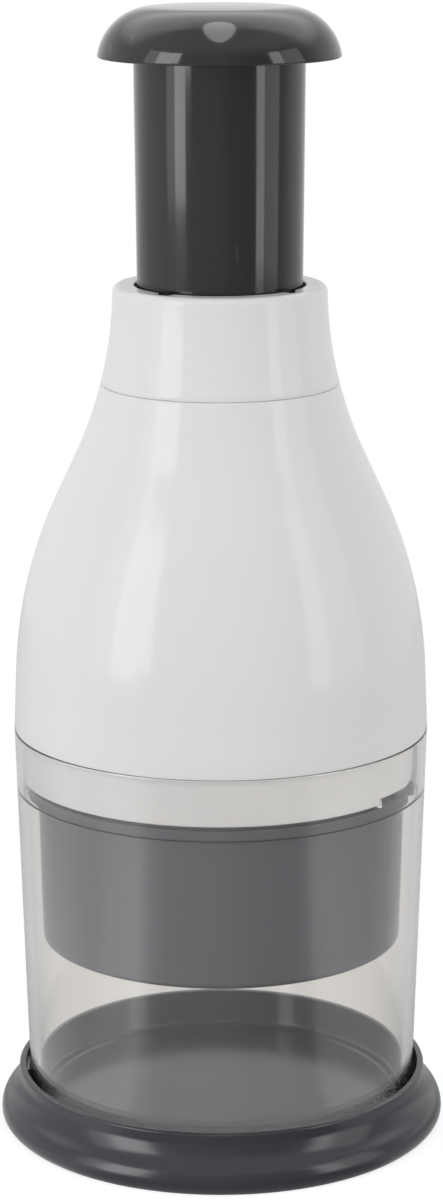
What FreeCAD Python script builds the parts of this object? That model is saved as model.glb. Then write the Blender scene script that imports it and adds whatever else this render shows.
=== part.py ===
import FreeCAD, Part
import math
import os

# Plunger food chopper: a knob pushes zigzag blades down through a turning stripper disc onto food
# in a clear sleeve, and a spring lifts them back. Millimetres, +Z up, the front of the object
# looks along -Y, and the origin is the centre of the face that the base stands on.

# Clearances
running_gap = 0.05
slide_gap = 0.3
seat_gap = 0.2
seam_chamfer = 0.3
edge_chamfer = 0.6
small_chamfer = 0.4
overlap = 1.0

# Base cap
base_flare = 3.6
base_lip_flare = 0.4
base_lip_height = 3.0
base_lip_width = 1.6
base_lip_shoulder = 2.6
base_foot_round = 0.5
base_height = 12.0
base_collar_height = 2.2
base_rim_gap = 1.14
base_floor_height = 4.4
base_floor_wall = 2.2
base_seat_step = 0.4
base_rim_wall = 1.4
base_foot_width = 7.9
base_rib_count = 6
base_rib_wall = 1.4
base_hub_radius = 9.0
base_pad_count = 3
base_pad_width = 8.0
base_pad_drop = 1.5
base_floor_inset = 0.8

# Clear sleeve
sleeve_foot_radius = 41.76
sleeve_flare = 2.47
sleeve_wall = 2.2
sleeve_length = 83.1
sleeve_ledge_depth = 13.1

# Bayonet, whose lugs on the sleeve sit under ledges in the housing's spigot
bayonet_count = 2
bayonet_stop_angle = 50.4
bayonet_entry_angle = 69.3
bayonet_entry_width = 6.6
bayonet_corner_round = 4.0
bayonet_ledge_rise = 1.5
bayonet_lug_width = 4.5
bayonet_lug_hold = 0.7

# Upper housing, whose side is an outline of three straight runs with two rounded corners
housing_gap = 0.3
housing_inset = 0.03
shoulder_rise = 32.34
shoulder_draw = 1.36
shoulder_blend_ratio = 0.6
neck_rise = 43.3
neck_draw = 0.16
neck_blend_ratio = 0.98
neck_length = 18.96
collar_height = 20.75
housing_wall = 2.4
spigot_inset = 2.33
spigot_wall = 2.3
spigot_length = 10.4
neck_bore_height = 10.0
neck_bore_inset = 0.6
boss_radius = 4.0
boss_length = 44.0

# Neck collar
collar_wall = 4.5
collar_wall_clear = 0.1
collar_skirt_wall = 1.4
collar_skirt_length = 8.3
collar_edge_round = 1.2
collar_notch_width = 4.4
collar_notch_depth = 2.4
collar_notch_height = 8.0
notch_count = 4
notch_angle = 52.4

# Plunger tube and its guide
tube_radius = 17.3
tube_flare = 0.42
tube_reach = 46.6
tube_wall = 1.9
tube_end_wall = 2.8
collar_gap = 0.6
lug_rise = 2.1
lug_width = 4.4
lug_height = 4.0
guide_floor_wall = 2.5
guide_play = 0.5
guide_flange_gap = 5.1
guide_rib_wall = 1.6
guide_rib_count = 3
guide_rib_height = 12.0
housing_screw_inset = 5.0
housing_screw_count = 3
stroke = 39.5
bumper_height = 1.8
bumper_wall = 4.5
bumper_gap = 0.2

# Knob
knob_radius = 25.21
knob_rise = 10.66
knob_shoulder_round = 11.57
knob_shoulder_drop = 1.27
knob_edge_round = 0.4
knob_shell = 2.4
knob_seat_depth = 0.3
knob_boss_radius = 8.2
knob_rib_count = 6
knob_rib_wall = 1.3
knob_seat_width = 4.8
knob_seat_rise = 1.2
nut_across_flats = 11.0
nut_height = 6.0
nut_floor = 1.2

# Drive rod, spring and their small parts
rod_radius = 4.0
rod_collar_radius = 6.0
rod_collar_height = 1.6
washer_radius = 7.5
washer_height = 0.8
clip_radius = 7.0
clip_height = 0.8
clip_groove_depth = 0.8
rod_tail = 1.6
rod_end_reach = 1.0
spring_wire_radius = 0.7
spring_mean_radius = 8.6
spring_cap_height = 1.5
spring_cap_gap = 0.8
spring_seat_height = 0.8
spring_seat_gap = 0.9

# Index crowns, which turn the blades by a tooth for each push
tooth_count = 12
tooth_height = 3.0
crown_inner_radius = 9.6
crown_outer_radius = 15.0
crown_body = 3.0
crown_flank_gap = 0.5
crown_flange_inset = 1.1
crown_flange_wall = 2.0
crown_drop = 2.8

# Guard cup
cup_inset = 0.2
cup_draft = 0.74
cup_depth = 36.3
cup_wall = 1.5
cup_bottom_round = 2.0
cup_flange_inset = 0.6
cup_step = 0.6
cup_flange_wall = 2.4
cup_shadow_gap = 0.9
cup_neck_length = 6.0
cup_neck_wall = 1.7
cup_lip_wall = 0.9
cup_lip_width = 2.2
cup_bead_count = 3
cup_bead_width = 6.0
cup_bead_rise = 0.8
cup_bead_height = 0.6

# Stripper disc
disc_overlap = 1.7
disc_flange_wall = 0.8
slot_clear = 0.45

# Blades and their carrier
blade_wall = 0.6
blade_edge_wall = 0.16
blade_bevel = 2.4
blade_height = 40.0
blade_tip_gap = 0.8
blade_end_gap = 2.2
blade_swing = 5.0
centre_blade_runs = 6
side_blade_runs = 4
side_blade_offset = 16.8
blade_grip = 3.0
blade_tab_length = 1.4
blade_tab_height = 1.2
blade_fit = 0.05
blade_rod_clear = 9.4
carrier_gap = 1.16
carrier_rim_wall = 2.0
carrier_rim_height = 3.4
hub_radius = 9.0
hub_foot_radius = 11.0
hub_foot_height = 3.6
hub_cone_height = 6.0
hub_neck_radius = 7.0
hub_height = 19.5
clip_recess = 2.4
clip_room_radius = 8.4
clamp_wall = 1.6
clamp_screw_x = 24.0
clamp_screw_y = 8.5

# Screws
screw_head_radius = 2.9
screw_head_height = 1.6
screw_shank_radius = 1.4
screw_reach = 11.0
small_head_radius = 2.1
small_head_height = 1.3
small_shank_radius = 1.0
small_reach = 4.0

# Places that follow from the sizes above, from the base upwards
sleeve_foot_height = base_floor_height + base_seat_step + seat_gap
sleeve_top_height = sleeve_foot_height + sleeve_length
sleeve_ledge_height = sleeve_top_height - sleeve_ledge_depth
sleeve_top_radius = sleeve_foot_radius + sleeve_flare
sleeve_taper = sleeve_flare / sleeve_length
base_neck_radius = sleeve_foot_radius + base_rim_gap + base_rim_wall
base_radius = base_neck_radius + base_flare
base_lip_radius = base_radius + base_lip_flare
housing_bottom_height = sleeve_top_height + housing_gap
housing_bottom_radius = sleeve_top_radius - housing_inset
shoulder_corner_height = housing_bottom_height + shoulder_rise
neck_corner_height = shoulder_corner_height + neck_rise
collar_top_height = neck_corner_height + neck_length
collar_seam_height = collar_top_height - collar_height
collar_top_radius = tube_radius + collar_gap + collar_wall
spigot_radius = sleeve_top_radius - spigot_inset
spigot_bottom_height = housing_bottom_height - spigot_length
sleeve_counterbore = spigot_radius + slide_gap
spigot_inner_radius = spigot_radius - spigot_wall
neck_bore_radius = collar_top_radius + neck_bore_inset
knob_foot_height = collar_top_height + tube_reach
knob_top_height = knob_foot_height + knob_rise
knob_shoulder_height = knob_foot_height - knob_shoulder_drop
tube_top_radius = tube_radius + tube_flare
guide_flange_radius = spigot_inner_radius - guide_flange_gap
housing_screw_circle = guide_flange_radius - housing_screw_inset
crown_flange_radius = guide_flange_radius - crown_flange_inset
cup_top_radius = spigot_inner_radius - cup_inset
cup_bottom_radius = cup_top_radius - cup_draft
cup_bottom_height = spigot_bottom_height - cup_depth
cup_flange_radius = spigot_radius - cup_flange_inset
cup_flange_top = spigot_bottom_height - cup_shadow_gap
bayonet_ledge_height = spigot_bottom_height + bayonet_ledge_rise
carrier_radius = cup_bottom_radius - cup_wall - carrier_gap
blade_pitch = 2 * (carrier_radius - carrier_rim_wall - blade_end_gap) / centre_blade_runs
collar_skirt_radius = neck_bore_radius - collar_wall_clear
collar_skirt_inner = collar_skirt_radius - collar_skirt_wall
collar_skirt_bottom = collar_seam_height - collar_skirt_length
bore_radius = tube_radius + collar_gap
guide_bore = tube_radius + slide_gap + guide_play
guide_groove = tube_radius + lug_rise + slide_gap
guide_outer = collar_skirt_inner - running_gap
disc_bottom_height = cup_bottom_height + seat_gap
disc_flange_bottom = cup_bottom_height + cup_lip_wall + slide_gap
disc_top_height = disc_flange_bottom + disc_flange_wall
blade_tip_height = disc_top_height + blade_tip_gap
blade_top_height = blade_tip_height + blade_height + blade_grip
carrier_bottom = blade_top_height - blade_grip
clip_height_at = carrier_bottom + clip_recess
hub_seat_height = clip_height_at + clip_height + slide_gap
crown_seat_height = carrier_bottom + hub_height
crown_root_height = crown_seat_height + crown_body
hub_top_height = crown_root_height + tooth_height - slide_gap
washer_bottom = hub_top_height + slide_gap
rod_collar_bottom = washer_bottom + washer_height
fixed_root_height = crown_root_height + tooth_height + slide_gap
guide_floor_bottom = fixed_root_height + crown_body + crown_drop
guide_floor_top = guide_floor_bottom + guide_floor_wall
tube_bottom_height = guide_floor_top + bumper_height + bumper_gap + stroke
lug_top_height = tube_bottom_height + lug_height
collar_stop_height = lug_top_height + slide_gap
tube_taper = tube_flare / tube_reach
tube_top_height = knob_foot_height + knob_seat_depth
tube_shelf_height = tube_top_height - tube_end_wall
spring_cap_radius = tube_radius - tube_wall - spring_cap_gap
spring_seat_radius = guide_bore - slide_gap - bumper_wall - spring_seat_gap
spring_bottom = guide_floor_top + spring_seat_height
spring_top = tube_shelf_height - spring_cap_height
rod_bottom = clip_height_at - rod_tail
nut_bottom_height = tube_shelf_height + nut_floor
rod_top_height = nut_bottom_height + nut_height + rod_end_reach
pieces = {}


def at(radius, height):
    return FreeCAD.Vector(radius, 0, height)


def polar(radius, degrees, height):
    turn = math.radians(degrees)
    return FreeCAD.Vector(radius * math.cos(turn), radius * math.sin(turn), height)


def front_angle(degrees):
    # Angles on the object are counted from its front, to the right.
    return degrees - 90.0


def turned_edges(edges):
    face = Part.Face(Part.Wire(edges))
    return face.revolve(FreeCAD.Vector(0, 0, 0), FreeCAD.Vector(0, 0, 1), 360)


def turned(points):
    corners = [at(radius, height) for radius, height in points]
    edges = [Part.LineSegment(a, b).toShape() for a, b in zip(corners, corners[1:] + corners[:1])]
    return turned_edges(edges)


def ring(inner, outer, bottom, top):
    solid = Part.makeCylinder(outer, top - bottom, FreeCAD.Vector(0, 0, bottom))
    if inner > 0:
        solid = solid.cut(Part.makeCylinder(inner, top - bottom, FreeCAD.Vector(0, 0, bottom)))
    return solid


def peg(radius, x, y, bottom, top):
    return Part.makeCylinder(radius, top - bottom, FreeCAD.Vector(x, y, bottom))


def spoke(length_from, length_to, width, bottom, top, degrees):
    # A flat bar that runs outwards from the axis at the given angle.
    bar = Part.makeBox(length_to - length_from, width, top - bottom,
                       FreeCAD.Vector(length_from, -width / 2, bottom))
    bar.rotate(FreeCAD.Vector(0, 0, 0), FreeCAD.Vector(0, 0, 1), degrees)
    return bar


def block(inner, outer, width, bottom, top, degrees):
    # A spoke whose two ends follow circles about the axis.
    bar = spoke(inner - 1.5, outer + 1.5, width, bottom, top, degrees)
    return bar.common(ring(inner, outer, bottom, top))


def fused(shapes):
    solid = shapes[0]
    for other in shapes[1:]:
        solid = solid.fuse(other)
    return solid.removeSplitter()


def cut_all(solid, tools):
    for tool in tools:
        solid = solid.cut(tool)
    return solid


def circle_edges(solid, radius, height):
    return [edge for edge in level_circles(solid, height) if abs(edge.Curve.Radius - radius) < 0.02]


def level_circles(solid, height):
    # The whole or part circles of a solid that lie at one height.
    found = []
    for edge in solid.Edges:
        if edge.Degenerated or not isinstance(edge.Curve, Part.Circle):
            continue
        if abs(edge.Curve.Center.z - height) < 0.02 and abs(edge.BoundBox.ZLength) < 0.02:
            found.append(edge)
    return found


def keep(name, shape):
    solids = shape.Solids
    result = solids[0] if len(solids) == 1 else Part.makeCompound(solids)
    pieces[name] = result


def sleeve_radius(height):
    return sleeve_foot_radius + (height - sleeve_foot_height) * sleeve_taper


def tube_radius_at(height):
    return tube_radius + (height - collar_top_height) * tube_taper


# Side of the housing and collar

def blend_radius(before, corner, after, share):
    # Radius of the rounding that takes a share of the shorter run beside a corner.
    back = before.sub(corner)
    ahead = after.sub(corner)
    return share * min(back.Length, ahead.Length) * math.tan(back.getAngle(ahead) / 2)


def rounded_corner(before, corner, after, radius):
    # Start, middle and end of the arc that rounds a corner of an outline.
    back = before.sub(corner).normalize()
    ahead = after.sub(corner).normalize()
    half = back.getAngle(ahead) / 2
    start = corner.add(back * (radius / math.tan(half)))
    end = corner.add(ahead * (radius / math.tan(half)))
    bisector = back.add(ahead).normalize()
    middle = corner.add(bisector * (radius / math.sin(half) - radius))
    return start, middle, end


def side_corners(inset):
    # Bottom edge, shoulder, neck and top edge, moved in by a wall.
    return (at(housing_bottom_radius - inset, housing_bottom_height),
            at(housing_bottom_radius - shoulder_draw - inset, shoulder_corner_height),
            at(collar_top_radius + neck_draw - inset, neck_corner_height),
            at(collar_top_radius - inset, collar_top_height))


def side_edges(inset):
    # The side from the housing's bottom edge to the collar's top edge, moved in by a wall.
    foot, shoulder, neck, top = side_corners(0)
    shoulder_round = blend_radius(foot, shoulder, neck, shoulder_blend_ratio)
    neck_round = blend_radius(shoulder, neck, top, neck_blend_ratio)
    foot, shoulder, neck, top = side_corners(inset)
    low = rounded_corner(foot, shoulder, neck, shoulder_round - inset)
    high = rounded_corner(shoulder, neck, top, neck_round + inset)
    edges = [
        Part.LineSegment(foot, low[0]).toShape(),
        Part.Arc(*low).toShape(),
        Part.LineSegment(low[2], high[0]).toShape(),
        Part.Arc(*high).toShape(),
        Part.LineSegment(high[2], top).toShape(),
    ]
    return foot, top, edges


def side_solid(inset):
    foot, top, edges = side_edges(inset)
    edges.append(Part.LineSegment(top, at(0, top.z)).toShape())
    edges.append(Part.LineSegment(at(0, top.z), at(0, foot.z)).toShape())
    edges.append(Part.LineSegment(at(0, foot.z), foot).toShape())
    return turned_edges(edges)


def slab(bottom, top):
    return Part.makeCylinder(base_lip_radius * 2, top - bottom, FreeCAD.Vector(0, 0, bottom))


# Base cap: a glossy dish with a flared foot, ribs beneath and pads that centre the sleeve

def make_base_cap():
    inner = base_neck_radius - base_rim_wall
    recess = base_radius - base_foot_width
    under = base_floor_height - base_floor_wall
    seat = base_floor_height + base_seat_step
    floor_radius = sleeve_foot_radius - sleeve_wall - base_floor_inset
    foot_edge = at(base_radius - base_foot_round, 0)
    lip = at(base_lip_radius, base_lip_height - 2 * base_foot_round)
    flare_foot = at(base_lip_radius - base_lip_width, base_lip_height + base_lip_shoulder)
    flare_top = at(base_neck_radius, base_height - base_collar_height)
    flare_middle = at(base_neck_radius + 0.2 * base_flare, flare_top.z - base_collar_height + 0.2)
    edges = [
        Part.LineSegment(at(0, under), at(recess, under)).toShape(),
        Part.LineSegment(at(recess, under), at(recess, 0)).toShape(),
        Part.LineSegment(at(recess, 0), foot_edge).toShape(),
        Part.Arc(foot_edge, at(base_radius + base_lip_flare / 4, 0.35 * lip.z), lip).toShape(),
        Part.Arc(lip, at(base_lip_radius - 0.22 * base_lip_width, lip.z + 0.61 * (flare_foot.z - lip.z)),
                 flare_foot).toShape(),
        Part.Arc(flare_foot, flare_middle, flare_top).toShape(),
    ]
    rest = [flare_top, at(base_neck_radius, base_height - small_chamfer),
            at(base_neck_radius - small_chamfer, base_height), at(inner + seam_chamfer, base_height),
            at(inner, base_height - seam_chamfer), at(inner, seat), at(floor_radius, seat),
            at(floor_radius - base_seat_step, base_floor_height), at(0, base_floor_height), at(0, under)]
    edges.extend(Part.LineSegment(a, b).toShape() for a, b in zip(rest, rest[1:]))
    cap = turned_edges(edges)
    extras = [ring(base_hub_radius - base_rib_wall, base_hub_radius, seam_chamfer, under)]
    for index in range(base_rib_count):
        angle = index * 360 / base_rib_count
        extras.append(spoke(base_hub_radius - base_rib_wall / 2, recess + base_rib_wall / 2, base_rib_wall,
                            seam_chamfer, under, angle))
    pad_inner = sleeve_radius(base_height) + seat_gap
    for index in range(base_pad_count):
        angle = front_angle(30 + index * 360 / base_pad_count)
        extras.append(block(pad_inner, inner + base_rim_wall / 2, base_pad_width, seat,
                            base_height - base_pad_drop, angle))
    keep("base_cap", fused([cap] + extras))


# Clear sleeve: a tapered tube with a stepped top and two bayonet lugs inside it

def bayonet_angle_of(width):
    return math.degrees(width / spigot_radius)


def bayonet_angles(first):
    return [first + index * 360 / bayonet_count for index in range(bayonet_count)]


def make_clear_sleeve():
    foot = sleeve_foot_height
    ledge = sleeve_ledge_height
    top = sleeve_top_height
    inner_foot = sleeve_foot_radius - sleeve_wall
    inner_ledge = sleeve_radius(ledge) - sleeve_wall
    edge = seam_chamfer
    sleeve = turned([
        (inner_foot + small_chamfer, foot), (sleeve_foot_radius - small_chamfer, foot),
        (sleeve_radius(foot + small_chamfer), foot + small_chamfer),
        (sleeve_radius(top - edge), top - edge), (sleeve_radius(top) - edge, top),
        (sleeve_counterbore + edge, top), (sleeve_counterbore, top - edge),
        (sleeve_counterbore, ledge), (inner_ledge, ledge), (inner_foot, foot + small_chamfer),
    ])
    width = bayonet_angle_of(bayonet_lug_width)
    gap = bayonet_angle_of(slide_gap)
    lugs = []
    for angle in bayonet_angles(bayonet_stop_angle + gap):
        lugs.append(sector(cup_flange_radius - bayonet_lug_hold, sleeve_counterbore + sleeve_wall / 4,
                           cup_flange_top + slide_gap, bayonet_ledge_height - slide_gap, angle, width))
    keep("clear_sleeve", fused([sleeve] + lugs))


def sector(inner, outer, bottom, top, start, sweep):
    # Part of a ring that starts at an angle from the front and runs to the right.
    wedge = Part.makeCylinder(outer, top - bottom, FreeCAD.Vector(0, 0, bottom),
                              FreeCAD.Vector(0, 0, 1), sweep)
    wedge = wedge.cut(ring(0, inner, bottom, top))
    wedge.rotate(FreeCAD.Vector(0, 0, 0), FreeCAD.Vector(0, 0, 1), front_angle(start))
    return wedge


def entry_sectors(inner, outer, bottom, top):
    # The upright ways in for the lugs.
    width = bayonet_angle_of(bayonet_entry_width)
    return [sector(inner, outer, bottom, top, angle, width) for angle in bayonet_angles(bayonet_entry_angle)]


# Upper housing: a bottle shouldered shell with bosses, and a spigot with bayonet ledges

def housing_boss_angles():
    return [30 + index * 360 / housing_screw_count for index in range(housing_screw_count)]


def make_upper_housing():
    outer = side_solid(0).common(slab(housing_bottom_height, collar_seam_height))
    seam = level_circles(outer, collar_seam_height)
    outer = outer.makeChamfer(seam_chamfer, seam)
    spigot = ring(0, spigot_radius, spigot_bottom_height, housing_bottom_height + overlap)
    body = outer.fuse(spigot)
    ceiling = collar_seam_height - neck_bore_height
    room = side_solid(housing_wall).common(slab(housing_bottom_height, ceiling))
    room = room.common(ring(0, spigot_inner_radius, housing_bottom_height, ceiling))
    mouth = ring(0, spigot_inner_radius, spigot_bottom_height, housing_bottom_height + overlap)
    neck = ring(0, neck_bore_radius, ceiling - overlap, collar_seam_height)
    shell = cut_all(body, [room.fuse(mouth), neck])
    bosses = []
    for angle in housing_boss_angles():
        place = polar(housing_screw_circle, angle, 0)
        post = peg(boss_radius, place.x, place.y, guide_floor_top, guide_floor_top + boss_length)
        bosses.append(post.common(room))
    shell = bayonet_cut(fused([shell] + bosses))
    holes = []
    for angle in housing_boss_angles():
        place = polar(housing_screw_circle, angle, 0)
        holes.append(peg(screw_shank_radius, place.x, place.y, guide_floor_top,
                         guide_floor_top + screw_reach + overlap))
    keep("upper_housing", cut_all(shell, holes))


def bayonet_cut(shell):
    # Each ledge runs from its stop to the way in, where the corner between them is rounded.
    inner = spigot_inner_radius - overlap
    outer = spigot_radius + overlap / 4
    low = spigot_bottom_height - overlap
    sweep = bayonet_entry_angle - bayonet_stop_angle + bayonet_angle_of(overlap)
    for angle in bayonet_angles(bayonet_stop_angle):
        shell = shell.cut(sector(inner, outer, low, bayonet_ledge_height, angle, sweep))
    for entry in entry_sectors(inner, outer, low, housing_bottom_height):
        shell = shell.cut(entry)
    corners = []
    for angle in bayonet_angles(bayonet_entry_angle):
        middle = (spigot_inner_radius + spigot_radius) / 2
        corners.append(polar(middle, front_angle(angle), bayonet_ledge_height))
    edges = [edge for edge in shell.Edges
             if not edge.Degenerated and min(edge.CenterOfMass.sub(spot).Length for spot in corners) < 0.05]
    return shell.makeFillet(bayonet_corner_round, edges)


# Neck collar: carries the plunger's bore, with four notches round its top edge

def make_neck_collar():
    outer = side_solid(0).common(slab(collar_seam_height, collar_top_height))
    rim = circle_edges(outer, collar_top_radius, collar_top_height)
    outer = outer.makeFillet(collar_edge_round, rim)
    outer = outer.makeChamfer(seam_chamfer, level_circles(outer, collar_seam_height))
    skirt = ring(0, collar_skirt_radius, collar_skirt_bottom, collar_seam_height + overlap)
    body = outer.fuse(skirt)
    body = body.cut(ring(0, bore_radius, collar_stop_height - overlap, collar_top_height))
    body = body.cut(ring(0, collar_skirt_inner, collar_skirt_bottom, collar_stop_height))
    for index in range(notch_count):
        angle = front_angle(notch_angle + index * 360 / notch_count)
        body = body.cut(spoke(bore_radius - overlap, bore_radius + collar_notch_depth, collar_notch_width,
                              collar_top_height - collar_notch_height, collar_top_height + overlap, angle))
    keep("neck_collar", body.removeSplitter())


# Guide insert: the grooved tube and flange that the plunger slides in, screwed to the housing

def lug_angles():
    return [front_angle(notch_angle + index * 360 / notch_count) for index in range(notch_count)]


def make_guide_insert():
    bottom = guide_floor_bottom
    top = lug_top_height
    body = turned([
        (rod_radius + slide_gap, bottom), (guide_flange_radius, bottom),
        (guide_flange_radius, guide_floor_top), (guide_outer, guide_floor_top), (guide_outer, top),
        (guide_bore, top), (guide_bore, guide_floor_top), (rod_radius + slide_gap, guide_floor_top),
    ])
    ribs = []
    for index in range(guide_rib_count):
        angle = 90 + index * 360 / guide_rib_count
        rib = spoke(guide_outer - seam_chamfer, guide_flange_radius - overlap, guide_rib_wall,
                    guide_floor_top - running_gap, guide_floor_top + guide_rib_height, angle)
        slope = turned([
            (guide_outer - overlap, guide_floor_top - overlap),
            (guide_flange_radius - overlap, guide_floor_top - overlap),
            (guide_flange_radius - overlap, guide_floor_top + overlap),
            (guide_outer + overlap, guide_floor_top + guide_rib_height),
            (guide_outer - overlap, guide_floor_top + guide_rib_height),
        ])
        ribs.append(rib.common(slope))
    body = fused([body] + ribs)
    grooves = []
    for angle in lug_angles():
        grooves.append(spoke(guide_bore - overlap, guide_groove, lug_width + 2 * slide_gap,
                             guide_floor_top + bumper_height, top + overlap, angle))
    for angle in housing_boss_angles():
        place = polar(housing_screw_circle, angle, 0)
        grooves.append(peg(screw_shank_radius, place.x, place.y, bottom - overlap,
                           guide_floor_top + overlap))
    keep("guide_insert", cut_all(body, grooves))


def screw(x, y, head_bottom, head_height, head_radius, shank_radius, shank_top):
    # A plain headed screw driven upwards.
    head = peg(head_radius, x, y, head_bottom, head_bottom + head_height)
    shank = peg(shank_radius, x, y, head_bottom + head_height, shank_top)
    return head.fuse(shank)


def make_housing_screws():
    screws = []
    for angle in housing_boss_angles():
        place = polar(housing_screw_circle, angle, 0)
        screws.append(screw(place.x, place.y, guide_floor_bottom - crown_flange_wall - screw_head_height,
                            screw_head_height, screw_head_radius, screw_shank_radius,
                            guide_floor_top + screw_reach))
    keep("housing_screws", Part.makeCompound(screws))


# Index crowns: rings of slanted teeth that face each other

def tooth(root, tip, start, sweep, sink):
    # One slanted tooth with an upright face at its start, lofted outwards, with its foot sunk in the ring.
    sections = []
    for radius in (crown_inner_radius - overlap, crown_outer_radius + 2 * overlap):
        corners = [polar(radius, start, root + sink), polar(radius, start, tip),
                   polar(radius, start + sweep, root), polar(radius, start + sweep, root + sink)]
        sections.append(Part.makePolygon(corners + corners[:1]))
    return Part.makeLoft(sections, True, True)


def crown_teeth(root, tip, phase):
    step = 360 / tooth_count
    sink = -0.4 if tip > root else 0.4
    teeth = []
    for index in range(tooth_count):
        start = phase + index * step
        teeth.append(tooth(root, tip, start, step, sink))
    band = ring(crown_inner_radius, crown_outer_radius, min(root, tip) - 0.5, max(root, tip) + 0.5)
    return [one.common(band) for one in teeth]


def make_rotor_crown():
    body = ring(hub_neck_radius, crown_outer_radius, crown_seat_height, crown_root_height)
    teeth = crown_teeth(crown_root_height, crown_root_height + tooth_height, 0)
    keep("rotor_crown", fused([body] + teeth))


def make_fixed_crown():
    # The fixed teeth point down into the rotor's, and rise the other way round.
    body = ring(crown_inner_radius, crown_outer_radius, fixed_root_height, guide_floor_bottom)
    flange = ring(crown_outer_radius - overlap, crown_flange_radius,
                  guide_floor_bottom - crown_flange_wall, guide_floor_bottom)
    step = 360 / tooth_count
    gap = math.degrees(crown_flank_gap / crown_inner_radius)
    teeth = []
    band = ring(crown_inner_radius, crown_outer_radius, crown_root_height, fixed_root_height + overlap)
    tip = crown_root_height + slide_gap + tooth_height * gap / step
    for index in range(tooth_count):
        end = (index + 1) * step - gap
        teeth.append(tooth(fixed_root_height, tip, end, gap - step, 0.4).common(band))
    crown = fused([body, flange] + teeth)
    holes = []
    for angle in housing_boss_angles():
        place = polar(housing_screw_circle, angle, 0)
        holes.append(peg(screw_shank_radius, place.x, place.y, fixed_root_height - overlap,
                         guide_floor_bottom + overlap))
    keep("fixed_crown", cut_all(crown, holes))


def make_bumper_and_spring_seat():
    bumper = ring(guide_bore - slide_gap - bumper_wall, guide_bore, guide_floor_top,
                  guide_floor_top + bumper_height)
    keep("travel_bumper", bumper)
    keep("spring_seat", ring(rod_radius + 2 * slide_gap, spring_seat_radius, guide_floor_top, spring_bottom))


# Guard cup: shields the blades and carries the stripper disc on its lip

def cup_radius(height):
    span = spigot_bottom_height - cup_bottom_height
    return cup_bottom_radius + (height - cup_bottom_height) * (cup_top_radius - cup_bottom_radius) / span


def make_guard_cup():
    bottom = cup_bottom_height
    flange_top = cup_flange_top
    flange_bottom = flange_top - cup_flange_wall
    neck_top = spigot_bottom_height + cup_neck_length
    neck_radius = spigot_inner_radius
    lip_top = bottom + cup_lip_wall
    lip_inner = cup_radius(lip_top) - cup_wall - cup_lip_width
    foot = at(cup_bottom_radius - cup_bottom_round, bottom)
    heel = at(cup_radius(bottom + cup_bottom_round), bottom + cup_bottom_round)
    bulge = cup_bottom_round * (1 - math.sqrt(0.5))
    middle = at(cup_bottom_radius - bulge, bottom + bulge)
    points = [
        (cup_radius(flange_bottom), flange_bottom), (cup_flange_radius, flange_bottom),
        (cup_flange_radius, flange_top), (neck_radius + cup_step, flange_top),
        (neck_radius + cup_step, spigot_bottom_height), (neck_radius, spigot_bottom_height),
        (neck_radius, neck_top), (neck_radius - cup_neck_wall, neck_top),
        (cup_radius(flange_bottom) - cup_wall, flange_bottom),
        (cup_radius(lip_top) - cup_wall, lip_top), (lip_inner, lip_top), (lip_inner, bottom),
        (foot.x, bottom),
    ]
    corners = [at(radius, height) for radius, height in points]
    edges = [Part.LineSegment(a, b).toShape() for a, b in zip(corners, corners[1:])]
    edges.append(Part.Arc(foot, middle, heel).toShape())
    edges.append(Part.LineSegment(heel, corners[0]).toShape())
    cup = turned_edges(edges)
    bead_bottom = disc_top_height + slide_gap
    beads = []
    for index in range(cup_bead_count):
        angle = 90 + index * 360 / cup_bead_count
        wall = cup_radius(bead_bottom) - cup_wall
        beads.append(block(wall - cup_bead_rise, wall + cup_wall / 3, cup_bead_width, bead_bottom,
                           bead_bottom + cup_bead_height, angle))
    cup = fused([cup] + beads)
    ways = entry_sectors(neck_radius + cup_step, cup_flange_radius + overlap, flange_bottom - overlap,
                         flange_top + overlap)
    keep("guard_cup", cut_all(cup, ways))


# Blades: bent ribbons of steel with a bevelled edge, and the slots that follow the same line

def zigzag_line(runs, offset, extra):
    # Corner points of a zigzag along X, with its two end runs lengthened.
    points = []
    for index in range(runs + 1):
        side = blade_swing if index % 2 == 0 else -blade_swing
        points.append((blade_pitch * (index - runs / 2), offset + side))
    slope = math.hypot(blade_pitch, 2 * blade_swing)
    grown = list(points)
    for end, inner in ((0, 1), (-1, -2)):
        dx = (points[end][0] - points[inner][0]) / slope
        dy = (points[end][1] - points[inner][1]) / slope
        grown[end] = (points[end][0] + dx * extra, points[end][1] + dy * extra)
    return grown


def ribbon_outline(points, width):
    # Both sides of a line of constant width, mitred at its corners.
    left = []
    right = []
    for index, (x, y) in enumerate(points):
        before = points[max(index - 1, 0)]
        after = points[min(index + 1, len(points) - 1)]
        headings = []
        if index > 0:
            headings.append(math.atan2(y - before[1], x - before[0]))
        if index < len(points) - 1:
            headings.append(math.atan2(after[1] - y, after[0] - x))
        middle = sum(headings) / len(headings)
        reach = width / 2 / math.cos(headings[0] - middle)
        left.append((x - math.sin(middle) * reach, y + math.cos(middle) * reach))
        right.append((x + math.sin(middle) * reach, y - math.cos(middle) * reach))
    return left + right[::-1]


def outline_wire(outline, height):
    corners = [FreeCAD.Vector(x, y, height) for x, y in outline]
    return Part.makePolygon(corners + corners[:1])


def ribbon(points, width, bottom, top):
    face = Part.Face(outline_wire(ribbon_outline(points, width), bottom))
    return face.extrude(FreeCAD.Vector(0, 0, top - bottom))


def bevelled_edge(points, bottom, top):
    thin = outline_wire(ribbon_outline(points, blade_edge_wall), bottom)
    full = outline_wire(ribbon_outline(points, blade_wall), top)
    return Part.makeLoft([thin, full], True, True)


blade_rows = {
    "centre_blade": (centre_blade_runs, 0.0),
    "rear_blade": (side_blade_runs, side_blade_offset),
    "front_blade": (side_blade_runs, -side_blade_offset),
}


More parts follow.
